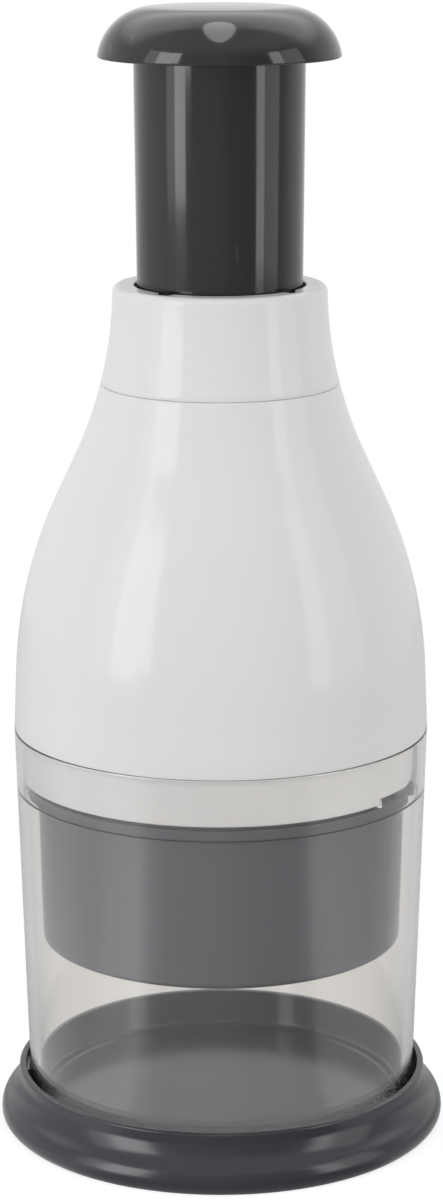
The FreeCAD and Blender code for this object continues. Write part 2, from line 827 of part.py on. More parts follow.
def make_blades():
    shoulder = blade_top_height - blade_tab_height
    for name, (runs, offset) in blade_rows.items():
        line = zigzag_line(runs, offset, 0)
        wide = zigzag_line(runs, offset, blade_tab_length)
        blade = fused([
            bevelled_edge(line, blade_tip_height, blade_tip_height + blade_bevel),
            ribbon(line, blade_wall, blade_tip_height + blade_bevel, blade_top_height),
            ribbon(wide, blade_wall, shoulder, blade_top_height),
        ])
        relief = ring(0, blade_rod_clear, carrier_bottom - slide_gap, blade_top_height + overlap)
        keep(name, blade.cut(relief))


def clamp_screw_places():
    return [(clamp_screw_x * side, clamp_screw_y * end) for side in (-1, 1) for end in (-1, 1)]


def make_blade_carrier():
    bottom = carrier_bottom
    plate_top = blade_top_height
    rim_inner = carrier_radius - carrier_rim_wall
    body = turned([
        (rod_radius + running_gap, hub_seat_height), (clip_room_radius, hub_seat_height),
        (clip_room_radius, bottom), (carrier_radius - edge_chamfer, bottom),
        (carrier_radius, bottom + edge_chamfer),
        (carrier_radius, plate_top + carrier_rim_height), (rim_inner, plate_top + carrier_rim_height),
        (rim_inner, plate_top), (hub_foot_radius, plate_top), (hub_foot_radius, plate_top + hub_foot_height),
        (hub_radius, plate_top + hub_cone_height), (hub_radius, crown_seat_height),
        (hub_neck_radius, crown_seat_height),
        (hub_neck_radius, hub_top_height), (rod_radius + running_gap, hub_top_height),
    ])
    cuts = []
    for runs, offset in blade_rows.values():
        slot = ribbon(zigzag_line(runs, offset, 0), blade_wall + 2 * blade_fit, bottom - overlap,
                      plate_top)
        pocket = ribbon(zigzag_line(runs, offset, blade_tab_length + blade_fit), blade_wall + 2 * blade_fit,
                        plate_top - blade_tab_height, plate_top)
        cuts.append(slot)
        cuts.append(pocket)
    for x, y in clamp_screw_places():
        cuts.append(peg(small_shank_radius, x, y, bottom - overlap, plate_top + overlap))
    keep("blade_carrier", cut_all(body, cuts))


def make_clamp_plate():
    bottom = blade_top_height
    plate = ring(hub_foot_radius + running_gap, carrier_radius - carrier_rim_wall - seat_gap, bottom,
                 bottom + clamp_wall)
    holes = [peg(small_shank_radius, x, y, bottom - overlap, bottom + clamp_wall + overlap)
             for x, y in clamp_screw_places()]
    keep("clamp_plate", cut_all(plate, holes))
    screws = []
    for x, y in clamp_screw_places():
        one = screw(0, 0, 0, small_head_height, small_head_radius, small_shank_radius,
                    small_head_height + small_reach)
        one.rotate(FreeCAD.Vector(0, 0, 0), FreeCAD.Vector(1, 0, 0), 180)
        one.translate(FreeCAD.Vector(x, y, bottom + clamp_wall + small_head_height))
        screws.append(one)
    keep("clamp_screws", Part.makeCompound(screws))


# Stripper disc: turns with the blades, and wipes them as they rise through its zigzag slots

def make_stripper_disc():
    lip_top = cup_bottom_height + cup_lip_wall
    boss_radius_at = cup_radius(lip_top) - cup_wall - cup_lip_width - slide_gap
    flange_radius = boss_radius_at + disc_overlap
    disc = turned([
        (0, disc_bottom_height), (boss_radius_at - small_chamfer, disc_bottom_height),
        (boss_radius_at, disc_bottom_height + small_chamfer), (boss_radius_at, disc_flange_bottom),
        (flange_radius, disc_flange_bottom), (flange_radius, disc_top_height), (0, disc_top_height),
    ])
    cuts = [ribbon(zigzag_line(runs, offset, slot_clear), blade_wall + 2 * slot_clear,
                   disc_bottom_height - overlap, disc_top_height + overlap)
            for runs, offset in blade_rows.values()]
    keep("stripper_disc", cut_all(disc, cuts))


# Plunger: tube with guide lugs, domed knob, and the rod that carries the blades

def make_plunger_tube():
    bottom = tube_bottom_height
    top = tube_top_height
    hole = knob_boss_radius + running_gap
    low = tube_radius_at(bottom)
    high = tube_radius_at(top)
    body = turned([
        (low - tube_wall, bottom), (low - edge_chamfer, bottom),
        (tube_radius_at(bottom + edge_chamfer), bottom + edge_chamfer),
        (high, top), (hole, top), (hole, tube_shelf_height), (high - tube_wall, tube_shelf_height),
    ])
    lugs = []
    for angle in lug_angles():
        lugs.append(block(tube_radius - tube_wall / 2, tube_radius + lug_rise, lug_width, bottom,
                          lug_top_height, angle))
    keep("plunger_tube", fused([body] + lugs))


def dome_solid(inset, foot_height):
    # A gentle crown meets a round shoulder smoothly, and the shoulder leans in a little at its foot.
    reach = knob_radius - knob_shoulder_round
    shoulder_round = knob_shoulder_round - inset
    shoulder = at(reach, knob_shoulder_height)
    rise = knob_top_height - knob_shoulder_height
    crown_round = (reach ** 2 + rise ** 2 - knob_shoulder_round ** 2) / (2 * (rise - knob_shoulder_round))
    crown = at(0, knob_top_height - crown_round)
    foot_lean = math.asin((foot_height - knob_shoulder_height) / shoulder_round)
    foot_heading = at(math.cos(foot_lean), math.sin(foot_lean))
    heading = shoulder.sub(crown).normalize()
    foot = shoulder.add(foot_heading * shoulder_round)
    meeting = shoulder.add(heading * shoulder_round)
    shoulder_middle = shoulder.add(heading.add(foot_heading).normalize() * shoulder_round)
    crown_middle = crown.add(heading.add(at(0, 1)).normalize() * (crown_round - inset))
    top = at(0, knob_top_height - inset)
    return turned_edges([
        Part.LineSegment(at(0, foot_height), foot).toShape(),
        Part.Arc(foot, shoulder_middle, meeting).toShape(),
        Part.Arc(meeting, crown_middle, top).toShape(),
        Part.LineSegment(top, at(0, foot_height)).toShape(),
    ])


def make_knob():
    foot = knob_foot_height
    shell = dome_solid(0, foot)
    shell = shell.makeChamfer(knob_edge_round, level_circles(shell, foot))
    shell = shell.cut(dome_solid(knob_shell, foot - overlap))
    core = dome_solid(knob_shell / 2, tube_shelf_height)
    parts = [
        ring(tube_top_radius + knob_seat_rise - knob_seat_width, tube_top_radius + knob_seat_rise,
             tube_top_height, knob_top_height),
        ring(0, knob_boss_radius, tube_shelf_height, knob_top_height),
    ]
    for index in range(knob_rib_count):
        parts.append(spoke(knob_boss_radius - overlap, knob_radius, knob_rib_wall,
                           tube_top_height + edge_chamfer,
                           knob_top_height, index * 360 / knob_rib_count))
    knob = fused([shell] + [part.common(core) for part in parts])
    knob = knob.cut(nut_solid(running_gap))
    knob = knob.cut(ring(0, rod_radius + running_gap, tube_shelf_height - overlap,
                         rod_top_height + running_gap))
    keep("plunger_knob", knob)


def nut_solid(clear):
    reach = (nut_across_flats / 2 + clear) / math.cos(math.radians(30))
    corners = [polar(reach, 60 * index, nut_bottom_height) for index in range(6)]
    face = Part.Face(Part.makePolygon(corners + corners[:1]))
    return face.extrude(FreeCAD.Vector(0, 0, nut_height))


def make_knob_nut():
    bore = ring(0, rod_radius, nut_bottom_height - overlap, nut_bottom_height + nut_height + overlap)
    keep("knob_nut", nut_solid(0).cut(bore))


def make_drive_rod():
    groove = clip_height_at
    bottom = rod_bottom
    rod = turned([
        (0, bottom), (rod_radius - edge_chamfer, bottom), (rod_radius, bottom + edge_chamfer),
        (rod_radius, groove),
        (rod_radius - clip_groove_depth, groove), (rod_radius - clip_groove_depth, groove + clip_height),
        (rod_radius, groove + clip_height), (rod_radius, rod_collar_bottom),
        (rod_collar_radius, rod_collar_bottom), (rod_collar_radius, rod_collar_bottom + rod_collar_height),
        (rod_radius, rod_collar_bottom + rod_collar_height), (rod_radius, rod_top_height - edge_chamfer),
        (rod_radius - edge_chamfer, rod_top_height), (0, rod_top_height),
    ])
    keep("drive_rod", rod)
    keep("thrust_washer", ring(rod_radius, washer_radius, washer_bottom, rod_collar_bottom))
    clip = ring(rod_radius - clip_groove_depth, clip_radius, groove, groove + clip_height)
    mouth = spoke(0, clip_radius + overlap, 2 * (rod_radius - clip_groove_depth), groove - overlap,
                  groove + clip_height + overlap, 90)
    keep("retaining_clip", clip.cut(mouth))
    keep("spring_cap", ring(rod_radius, spring_cap_radius, spring_top, tube_shelf_height))


def make_return_spring():
    # The spring is shut inside the tube at all times, so its coils are one plain sleeve of their size.
    inner = spring_mean_radius - spring_wire_radius
    keep("return_spring", ring(inner, inner + 2 * spring_wire_radius, spring_bottom, spring_top))


def main():
    make_base_cap()
    make_clear_sleeve()
    make_upper_housing()
    make_neck_collar()
    make_guide_insert()
    make_housing_screws()
    make_fixed_crown()
    make_bumper_and_spring_seat()
    make_guard_cup()
    make_stripper_disc()
    make_blades()
    make_blade_carrier()
    make_clamp_plate()
    make_rotor_crown()
    make_plunger_tube()
    make_knob()
    make_knob_nut()
    make_drive_rod()
    make_return_spring()
    os.makedirs("parts", exist_ok=True)
    for name, shape in pieces.items():
        box = shape.BoundBox
        print(name, "solids", len(shape.Solids), "valid", shape.isValid(), "volume", round(shape.Volume, 1),
              "z", round(box.ZMin, 2), round(box.ZMax, 2), "reach", round(max(box.XMax, box.YMax), 2))
        shape.exportStep("parts/" + name + ".step")


main()
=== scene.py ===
# The looks of a plunger food chopper: a white bottle shouldered housing on a clear sleeve, with a
# dark domed plunger, a grey guard cup round zigzag blades, and a dark dished base.

import logging
import math
from dataclasses import dataclass, field
from enum import Enum

import bpy
from mathutils import Euler, Matrix, Quaternion, Vector


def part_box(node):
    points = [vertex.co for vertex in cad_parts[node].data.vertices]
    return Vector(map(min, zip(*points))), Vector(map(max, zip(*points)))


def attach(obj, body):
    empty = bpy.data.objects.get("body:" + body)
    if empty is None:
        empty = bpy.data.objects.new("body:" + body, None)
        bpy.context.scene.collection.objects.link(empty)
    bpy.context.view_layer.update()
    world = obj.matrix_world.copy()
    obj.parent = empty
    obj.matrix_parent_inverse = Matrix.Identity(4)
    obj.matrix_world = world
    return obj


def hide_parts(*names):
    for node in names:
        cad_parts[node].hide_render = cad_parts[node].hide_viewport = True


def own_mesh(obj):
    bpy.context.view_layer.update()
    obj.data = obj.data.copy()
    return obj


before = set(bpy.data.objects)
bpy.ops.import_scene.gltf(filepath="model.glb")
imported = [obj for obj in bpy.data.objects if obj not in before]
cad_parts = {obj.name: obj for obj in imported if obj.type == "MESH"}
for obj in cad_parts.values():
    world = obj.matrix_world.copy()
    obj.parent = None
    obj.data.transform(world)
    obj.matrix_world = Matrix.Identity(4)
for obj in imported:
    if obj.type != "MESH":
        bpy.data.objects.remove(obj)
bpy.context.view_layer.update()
LOG = logging.getLogger("chopper")
MM = 0.001
LONGEST_STEP = 4.0  # Longest step along a straight run of an outline, in millimetres.
EDGE_STEP = 0.18  # Distance of the outer points of a run from its ends, in millimetres.
ARC_DEGREES = 14.0  # Largest angle between the points that round a corner.
ARC_STEP = 1.6  # Longest step between them, in millimetres.
ARC_COUNT = 4  # Fewest steps round a corner.
ON_AXIS = 1e-7  # Radius in metres under which a point of an outline lies on the axis.
Point = tuple[float, float]
Triple = tuple[float, float, float]
Colour = Triple
Face = tuple[int, ...]


class Body(Enum):
    """The moving bodies of the chopper, by the names that the frame gives them."""

    BASE = "base"
    SLEEVE = "sleeve"
    HOUSING = "housing"
    PLUNGER = "plunger"
    ROTOR = "rotor"
    STRIPPER = "stripper"


class Slot(Enum):
    """The material slots of the record."""

    WHITE = "white_plastic"
    DARK = "dark_plastic"
    CUP = "cup_plastic"
    CLEAR = "clear_plastic"
    INNER = "inner_plastic"
    BLADE = "blade_steel"
    ROD = "rod_steel"
    RUBBER = "bumper_rubber"


class Change(Enum):
    """What one closed mesh does to another, by Blender's names."""

    CUT = "DIFFERENCE"
    JOIN = "UNION"


class LampShape(Enum):
    """The shapes of the soft lights, by Blender's names."""

    PANEL = "RECTANGLE"
    OVAL = "ELLIPSE"


@dataclass(frozen=True)
class Corner:
    """One corner of a half section, in millimetres, with the radius that rounds it."""

    radius: float
    height: float
    rounding: float = 0.0

    def vector(self) -> Vector:
        """The corner as a flat vector."""
        return Vector((self.radius, self.height))


def even_steps(start: Vector, end: Vector, longest: float, edge: float) -> list[Vector]:
    """Points along a straight run, with one close to each end so that its shading stays flat.

    Args:
        start: First point, which isn't returned.
        end: Last point, which isn't returned.
        longest: Longest step between points, in millimetres.
        edge: Distance of the outer points from the ends, in millimetres.

    Returns:
        The points between the two ends.
    """
    span = (end - start).length
    if span < 3 * edge:
        return []
    heading = (end - start) / span
    inner = span - 2 * edge
    count = max(1, math.ceil(inner / longest))
    return [start + heading * (edge + inner * index / count) for index in range(count + 1)]


def corner_arc(before: Vector, corner: Corner, after: Vector) -> list[Vector]:
    """Points on the arc that rounds a corner.

    Args:
        before: The corner before it.
        corner: The corner to round.
        after: The corner after it.

    Returns:
        The points of the arc, or the corner itself where it is sharp.
    """
    here = corner.vector()
    if corner.rounding <= 0:
        return [here]
    back = (before - here).normalized()
    ahead = (after - here).normalized()
    half = back.angle(ahead) / 2
    reach = corner.rounding / math.tan(half)
    centre = here + (back + ahead).normalized() * (corner.rounding / math.sin(half))
    start = here + back * reach - centre
    sweep = math.pi - 2 * half
    turn = 1.0 if back.x * ahead.y - back.y * ahead.x < 0 else -1.0
    count = max(ARC_COUNT, math.ceil(sweep / math.radians(ARC_DEGREES)), math.ceil(sweep * corner.rounding / ARC_STEP))
    points: list[Vector] = []
    for index in range(count + 1):
        angle = turn * sweep * index / count
        turned = Vector((start.x * math.cos(angle) - start.y * math.sin(angle),
                         start.x * math.sin(angle) + start.y * math.cos(angle)))
        points.append(centre + turned)
    return points


def arc_through(start: Point, middle: Point, end: Point, steps: int) -> list[Point]:
    """Points along the arc from one point to another, by way of a third.

    Args:
        start: First point, which is returned too.
        middle: A point that the arc passes through.
        end: Last point, which is returned too.
        steps: Number of steps along the arc.

    Returns:
        The points in order.
    """
    first, second, third = Vector(start), Vector(middle), Vector(end)
    across, along = second - first, third - first
    twice = 2 * (across.x * along.y - across.y * along.x)
    lengths = across.length_squared, along.length_squared
    centre = first + Vector(((along.y * lengths[0] - across.y * lengths[1]) / twice,
                             (across.x * lengths[1] - along.x * lengths[0]) / twice))
    spoke, last = first - centre, third - centre
    sweep = math.atan2(spoke.x * last.y - spoke.y * last.x, spoke.dot(last))
    turns = [Matrix.Rotation(sweep * step / steps, 2) for step in range(steps + 1)]
    return [tuple(centre + turn @ spoke) for turn in turns]


def half_section(corners: list[Corner], closed: bool) -> list[Point]:
    """The dense outline of a turned piece, drawn through rounded corners.

    Args:
        corners: The corners in order, in millimetres.
        closed: Whether the last corner joins the first, or both ends lie on the axis.

    Returns:
        Points (radius, height) in metres.
    """
    count = len(corners)
    runs: list[list[Vector]] = []
    for index, corner in enumerate(corners):
        if not closed and index in (0, count - 1):
            runs.append([corner.vector()])
            continue
        before = corners[index - 1].vector()
        after = corners[(index + 1) % count].vector()
        runs.append(corner_arc(before, corner, after))
    points: list[Vector] = []
    for index, run in enumerate(runs):
        points.extend(run)
        if closed or index < count - 1:
            points.extend(even_steps(run[-1], runs[(index + 1) % count][0], LONGEST_STEP, EDGE_STEP))
    return [(point.x * MM, point.y * MM) for point in points]


def millimetres(points: list[Point]) -> list[Point]:
    """Points in metres from points in millimetres."""
    return [(radius * MM, height * MM) for radius, height in points]


def side_radius(side: list[Point], height: float) -> float:
    """The radius of a side at a height, between its two nearest points.

    Args:
        side: Points (radius, height) from bottom to top.
        height: The height, in the unit of the points.

    Returns:
        The radius, or the last point's where the side ends lower.
    """
    for (low_radius, low), (high_radius, high) in zip(side, side[1:]):
        if low <= height <= high:
            return low_radius + (high_radius - low_radius) * (height - low) / (high - low)
    return side[-1][0]


def new_object(name: str, vertices: list[Triple], faces: list[Face]) -> bpy.types.Object:
    """A mesh object with outward normals, smooth except at sharp corners.

    Args:
        name: Name of the piece.
        vertices: Corner positions in metres.
        faces: Vertex indices of each face.

    Returns:
        The object, linked into the scene.
    """
    mesh = bpy.data.meshes.new(name)
    mesh.from_pydata(vertices, [], faces)
    mesh.validate()
    piece = bpy.data.objects.new(name, mesh)
    bpy.context.scene.collection.objects.link(piece)
    smooth_piece(piece)
    return piece


def smooth_piece(piece: bpy.types.Object, sharp_degrees: float = 38.0) -> None:
    """Shades a piece smoothly, with its sharp edges kept.

    Args:
        piece: The mesh object.
        sharp_degrees: Edges that turn by more than this stay sharp.
    """
    mesh = piece.data
    mesh.shade_smooth()
    mesh.set_sharp_from_angle(angle=math.radians(sharp_degrees))
    mesh.update()


def turned_piece(name: str, outline: list[Point], closed: bool, segments: int = 192) -> bpy.types.Object:
    """A solid turned about the object's axis.

    Args:
        name: Name of the piece.
        outline: Points (radius, height) in metres, counted so that the solid lies on their left.
        closed: Whether the outline is a loop clear of the axis.
        segments: Number of steps round the axis.

    Returns:
        The new piece.
    """
    vertices: list[Triple] = []
    rings: list[list[int]] = []
    for radius, height in outline:
        if radius < ON_AXIS:
            rings.append([len(vertices)] * segments)
            vertices.append((0.0, 0.0, height))
            continue
        rings.append(list(range(len(vertices), len(vertices) + segments)))
        for step in range(segments):
            angle = 2 * math.pi * step / segments
            vertices.append((radius * math.cos(angle), radius * math.sin(angle), height))
    faces: list[Face] = []
    pairs = list(zip(rings, rings[1:]))
    if closed:
        pairs.append((rings[-1], rings[0]))
    for low, high in pairs:
        for step in range(segments):
            ahead = (step + 1) % segments
            face = (low[step], low[ahead], high[ahead], high[step])
            faces.append(tuple(dict.fromkeys(face)))
    return new_object(name, vertices, faces)


def sector_piece(name: str, inner: float, outer: float, low: float, high: float, start: float,
                 sweep: float, steps: int = 12) -> bpy.types.Object:
    """A block between two circles about the axis, in millimetres and degrees from the front.

    Args:
        name: Name of the piece.
        inner: Inner radius.
        outer: Outer radius.
        low: Lower height.
        high: Upper height.
        start: Angle of its first side, from the front towards the right.
        sweep: Angle that it covers.
        steps: Number of steps along the sweep.

    Returns:
        The new piece.
    """
    section = [(inner, low), (outer, low), (outer, high), (inner, high)]
    vertices: list[Triple] = []
    for step in range(steps + 1):
        angle = math.radians(start - 90 + sweep * step / steps)
        for radius, height in section:
            vertices.append((radius * math.cos(angle) * MM, radius * math.sin(angle) * MM, height * MM))
    faces: list[Face] = [(0, 1, 2, 3)]
    for step in range(steps):
        here = 4 * step
        for side in range(4):
            other = (side + 1) % 4
            faces.append((here + side, here + 4 + side, here + 4 + other, here + other))
    last = 4 * steps
    faces.append((last + 3, last + 2, last + 1, last))
    return new_object(name, vertices, faces)


def prism_faces(count: int) -> list[Face]:
    """The faces of a solid between two outlines with the same number of corners.

    Args:
        count: Number of corners of each outline.

    Returns:
        Vertex indices of the two ends, and then of each side.
    """
    faces: list[Face] = [tuple(range(count))[::-1], tuple(range(count, 2 * count))]
    for side in range(count):
        other = (side + 1) % count
        faces.append((side, other, count + other, count + side))
    return faces


def wrapped_piece(name: str, inner: float, outer: float, outline: list[Point]) -> bpy.types.Object:
    """A block whose outline is drawn on a cylinder about the axis.

    Args:
        name: Name of the piece.
        inner: Inner radius in millimetres.
        outer: Outer radius.
        outline: Corners (degrees from the front, height), counted anticlockwise as seen from outside.

    Returns:
        The new piece.
    """
    vertices: list[Triple] = []
    for radius in (inner, outer):
        for degrees, height in outline:
            angle = math.radians(degrees - 90)
            vertices.append((radius * math.cos(angle) * MM, radius * math.sin(angle) * MM, height * MM))
    return new_object(name, vertices, prism_faces(len(outline)))


def cut_away(piece: bpy.types.Object, cutters: list[bpy.types.Object]) -> None:
    """Cuts one piece with others, which are then deleted.

    Args:
        piece: The piece that is cut.
        cutters: Closed meshes that are taken out of it.
    """
    combine(piece, cutters, Change.CUT)


def add_on(piece: bpy.types.Object, extras: list[bpy.types.Object]) -> None:
    """Joins other closed meshes to a piece as one skin.

    Args:
        piece: The piece that grows.
        extras: Closed meshes that overlap it.
    """
    combine(piece, extras, Change.JOIN)


def combine(piece: bpy.types.Object, others: list[bpy.types.Object], change: Change) -> None:
    """Applies one boolean operation for each other mesh, and deletes that mesh.

    Args:
        piece: The piece that changes.
        others: The meshes that it is combined with.
        change: What they do to it.
    """
    for other in others:
        modifier = piece.modifiers.new("shape", "BOOLEAN")
        modifier.operation = change.value
        modifier.solver = "EXACT"
        modifier.object = other
        graph = bpy.context.evaluated_depsgraph_get()
        result = bpy.data.meshes.new_from_object(piece.evaluated_get(graph))
        piece.modifiers.clear()
        old = piece.data
        piece.data = result
        bpy.data.meshes.remove(old)
        bpy.data.objects.remove(other)
    smooth_piece(piece)


@dataclass(frozen=True)
class Grain:
    """A noise pattern in a piece's own space, with its scale counted in features per metre."""

    scale: float
    detail: float
    stretch: Triple = (1.0, 1.0, 1.0)
    roughness: float = 0.5


class NodeBoard:
    """Lays out and links the shader nodes of one material."""

    def __init__(self, name: str) -> None:
        """Starts a material with only an output and a principled shader.

        Args:
            name: Name of the material.
        """
        self.material = bpy.data.materials.new(name)
        self.material.use_nodes = True
        self.tree = self.material.node_tree
        self.tree.nodes.clear()
        self.output = self.tree.nodes.new("ShaderNodeOutputMaterial")
        self.shader = self.tree.nodes.new("ShaderNodeBsdfPrincipled")
        self.link(self.shader, "BSDF", self.output, "Surface")
        self.place = self.tree.nodes.new("ShaderNodeTexCoord")

    def link(self, source: bpy.types.Node, out: str | int, target: bpy.types.Node, into: str | int) -> None:
        """Links one node's output to another's input."""
        self.tree.links.new(source.outputs[out], target.inputs[into])

    def set(self, **values: object) -> None:
        """Sets plain values on the shader, with underscores for spaces in their names."""
        for name, value in values.items():
            self.shader.inputs[name.replace("_", " ")].default_value = value

    def noise(self, grain: Grain) -> bpy.types.Node:
        """A noise pattern in the object's own space.

        Args:
            grain: The pattern's scale, octaves and stretch.

        Returns:
            The noise node.
        """
        mapping = self.tree.nodes.new("ShaderNodeMapping")
        mapping.inputs["Scale"].default_value = grain.stretch
        noise = self.tree.nodes.new("ShaderNodeTexNoise")
        noise.inputs["Scale"].default_value = grain.scale
        noise.inputs["Detail"].default_value = grain.detail
        noise.inputs["Roughness"].default_value = grain.roughness
        self.link(self.place, "Object", mapping, "Vector")
        self.link(mapping, "Vector", noise, "Vector")
        return noise

    def ramp(self, source: bpy.types.Node, stops: list[tuple[float, Colour]]) -> bpy.types.Node:
        """Turns a pattern into colours.

        Args:
            source: The node whose first output drives the ramp.
            stops: Positions and colours, in rising order.

        Returns:
            The colour ramp node.
        """
        ramp = self.tree.nodes.new("ShaderNodeValToRGB")
        elements = ramp.color_ramp.elements
        while len(elements) < len(stops):
            elements.new(0.5)
        for element, (position, colour) in zip(elements, stops):
            element.position = position
            element.color = (*colour, 1.0)
        self.link(source, 0, ramp, "Fac")
        return ramp

    def span(self, source: bpy.types.Node, low: float, high: float, start: float = 0.3,
             end: float = 0.7) -> bpy.types.Node:
        """Maps a pattern to a range of numbers.

        Args:
            source: The node whose first output is mapped.
            low: Value where the pattern is weak.
            high: Value where the pattern is strong.
            start: Pattern value that gives low.
            end: Pattern value that gives high.

        Returns:
            The mapping node.
        """
        spread = self.tree.nodes.new("ShaderNodeMapRange")
        spread.inputs["From Min"].default_value = start
        spread.inputs["From Max"].default_value = end
        spread.inputs["To Min"].default_value = low
        spread.inputs["To Max"].default_value = high
        self.link(source, 0, spread, "Value")
        return spread

    def bump(self, source: bpy.types.Node, strength: float, distance: float) -> bpy.types.Node:
        """Raises the surface by a pattern.

        Args:
            source: The node whose first output is the height.
            strength: Share of the full effect.
            distance: Height in metres.

        Returns:
            The bump node, which is linked to the shader.
        """
        bump = self.tree.nodes.new("ShaderNodeBump")
        bump.inputs["Strength"].default_value = strength
        bump.inputs["Distance"].default_value = distance
        self.link(source, 0, bump, "Height")
        self.link(bump, "Normal", self.shader, "Normal")
        return bump

    def overlay(self, share: bpy.types.Node, tint: bpy.types.Node, colour: Colour, gloss: bpy.types.Node,
                dulling: float) -> tuple[bpy.types.Node, bpy.types.Node]:
        """Lays another colour over the plain one, and makes the surface rougher there.

        Args:
            share: The node whose first output says how much of the other colour shows.
            tint: The node that gives the plain colour.
            colour: The other colour.
            gloss: The node that gives the plain roughness.
            dulling: Roughness that is added under the full share.

        Returns:
            The nodes that give the changed colour and roughness.
        """
        mixed = self.tree.nodes.new("ShaderNodeMix")
        mixed.data_type = "RGBA"
        mixed.inputs["B"].default_value = (*colour, 1.0)
        self.link(share, 0, mixed, "Factor")
        self.link(tint, 0, mixed, "A")
        dull = self.tree.nodes.new("ShaderNodeMath")
        dull.operation = "MULTIPLY_ADD"
        dull.inputs[1].default_value = dulling
        self.link(share, 0, dull, 0)
        self.link(gloss, 0, dull, 2)
        joined = self.tree.nodes.new("NodeReroute")
        self.tree.links.new(mixed.outputs["Result"], joined.inputs[0])
        return joined, dull


@dataclass(frozen=True)
class MouldedPlastic:
    """A glossy or satin moulding with faint flow marks, handling wear and a fine skin."""

    name: str
    colour: Colour
    roughness: float
    specular: float = 0.5
    mottle: float = 0.03
    skin_depth: float = 0.00001
    skin_strength: float = 0.06
    scuffs: float = 0.0
    scuff_colour: Colour = (0.22, 0.22, 0.225)
    scuff_dulling: float = 0.35
    waves: float = 0.0
    glow: float = 0.0
    glow_reach: float = 0.0015
    glow_tint: Colour = (1.0, 0.95, 0.9)
    foot_colour: Colour | None = None
    foot_height: float = 0.03
    foot_dulling: float = 0.11
    gloss_spread: Point = (0.82, 1.22)
    flow_marks: Grain = Grain(26.0, 3.0, (1.0, 1.0, 0.35))
    handling: Grain = Grain(90.0, 5.0, (1.0, 1.0, 0.6), 0.6)
    skin: Grain = Grain(700.0, 2.0)
    sinks: Grain = Grain(55.0, 1.0, (1.0, 1.0, 0.7))
    rub_lines: Grain = Grain(420.0, 4.0, (1.0, 1.0, 0.09), 0.7)
    rub_zones: Grain = Grain(34.0, 3.0)

    def build(self) -> bpy.types.Material:
        """Makes the material.

        Returns:
            The new material.
        """
        board = NodeBoard(self.name)
        flow = board.noise(self.flow_marks)
        dark = tuple(value * (1 - self.mottle) for value in self.colour)
        light = tuple(min(1.0, value * (1 + self.mottle)) for value in self.colour)
        tint = board.ramp(flow, [(0.3, dark), (0.7, light)])
        gloss = board.span(board.noise(self.handling), self.roughness * self.gloss_spread[0],
                           self.roughness * self.gloss_spread[1])
        if self.scuffs > 0:
            tint, gloss = self.add_scuffs(board, tint, gloss)
        if self.foot_colour:
            tint, gloss = self.add_foot(board, tint, gloss)
        board.link(tint, 0, board.shader, "Base Color")
        board.link(gloss, 0, board.shader, "Roughness")
        skin_bump = board.bump(board.noise(self.skin), self.skin_strength, self.skin_depth)
        if self.waves > 0:
            sink_bump = board.bump(board.noise(self.sinks), 1.0, self.waves)
            board.link(sink_bump, "Normal", skin_bump, "Normal")
            board.link(skin_bump, "Normal", board.shader, "Normal")
        board.set(IOR=1.5, Specular_IOR_Level=self.specular)
        if self.glow > 0:
            board.set(Subsurface_Weight=self.glow, Subsurface_Radius=self.glow_tint, Subsurface_Scale=self.glow_reach)
        return board.material

    def add_foot(self, board: NodeBoard, tint: bpy.types.Node,
                 gloss: bpy.types.Node) -> tuple[bpy.types.Node, bpy.types.Node]:
        """Makes the part below a set height duller and paler.

        Args:
            board: The material's nodes.
            tint: The node that gives the plain colour.
            gloss: The node that gives the plain roughness.

        Returns:
            The nodes that give the changed colour and roughness.
        """
        split = board.tree.nodes.new("ShaderNodeSeparateXYZ")
        board.link(board.place, "Object", split, "Vector")
        under = board.tree.nodes.new("ShaderNodeMath")
        under.operation = "LESS_THAN"
        under.inputs[1].default_value = self.foot_height
        board.link(split, "Z", under, 0)
        return board.overlay(under, tint, self.foot_colour, gloss, self.foot_dulling)

    def add_scuffs(self, board: NodeBoard, tint: bpy.types.Node,
                   gloss: bpy.types.Node) -> tuple[bpy.types.Node, bpy.types.Node]:
        """Lays thin upright rub marks over the colour and the gloss.

        Args:
            board: The material's nodes.
            tint: The node that gives the plain colour.
            gloss: The node that gives the plain roughness.

        Returns:
            The nodes that give the marked colour and roughness.
        """
        lines = board.span(board.noise(self.rub_lines), 0.0, 1.0, 0.62, 0.72)
        zones = board.span(board.noise(self.rub_zones), 0.0, 1.0, 0.52, 0.66)
        mask = board.tree.nodes.new("ShaderNodeMath")
        mask.operation = "MULTIPLY"
        board.link(lines, 0, mask, 0)
        board.link(zones, 0, mask, 1)
        share = board.span(mask, 0.0, self.scuffs, 0.0, 1.0)
        return board.overlay(share, tint, self.scuff_colour, gloss, self.scuff_dulling)


@dataclass(frozen=True)
class ClearPlastic:
    """A clear moulding with a slight warm grey tint and fine handling marks."""

    name: str
    colour: Colour
    roughness: float = 0.03
    clearness: float = 0.985
    contrast: float = 0.985
    gloss_spread: Point = (0.6, 1.6)
    flow_marks: Grain = Grain(30.0, 2.0, (1.0, 1.0, 0.4))
    handling: Grain = Grain(260.0, 4.0, (1.0, 1.0, 0.3), 0.6)
    skin: Grain = Grain(60.0, 2.0, (1.0, 1.0, 0.5))
    skin_strength: float = 0.05
    skin_depth: float = 0.0001

    def build(self) -> bpy.types.Material:
        """Makes the material.

        Returns:
            The new material.
        """
        board = NodeBoard(self.name)
        dark = tuple(value * self.contrast for value in self.colour)
        tint = board.ramp(board.noise(self.flow_marks), [(0.35, dark), (0.65, self.colour)])
        board.link(tint, 0, board.shader, "Base Color")
        gloss = board.span(board.noise(self.handling), self.roughness * self.gloss_spread[0],
                           self.roughness * self.gloss_spread[1])
        board.link(gloss, 0, board.shader, "Roughness")
        board.bump(board.noise(self.skin), self.skin_strength, self.skin_depth)
        board.set(IOR=1.5, Transmission_Weight=self.clearness)
        return board.material


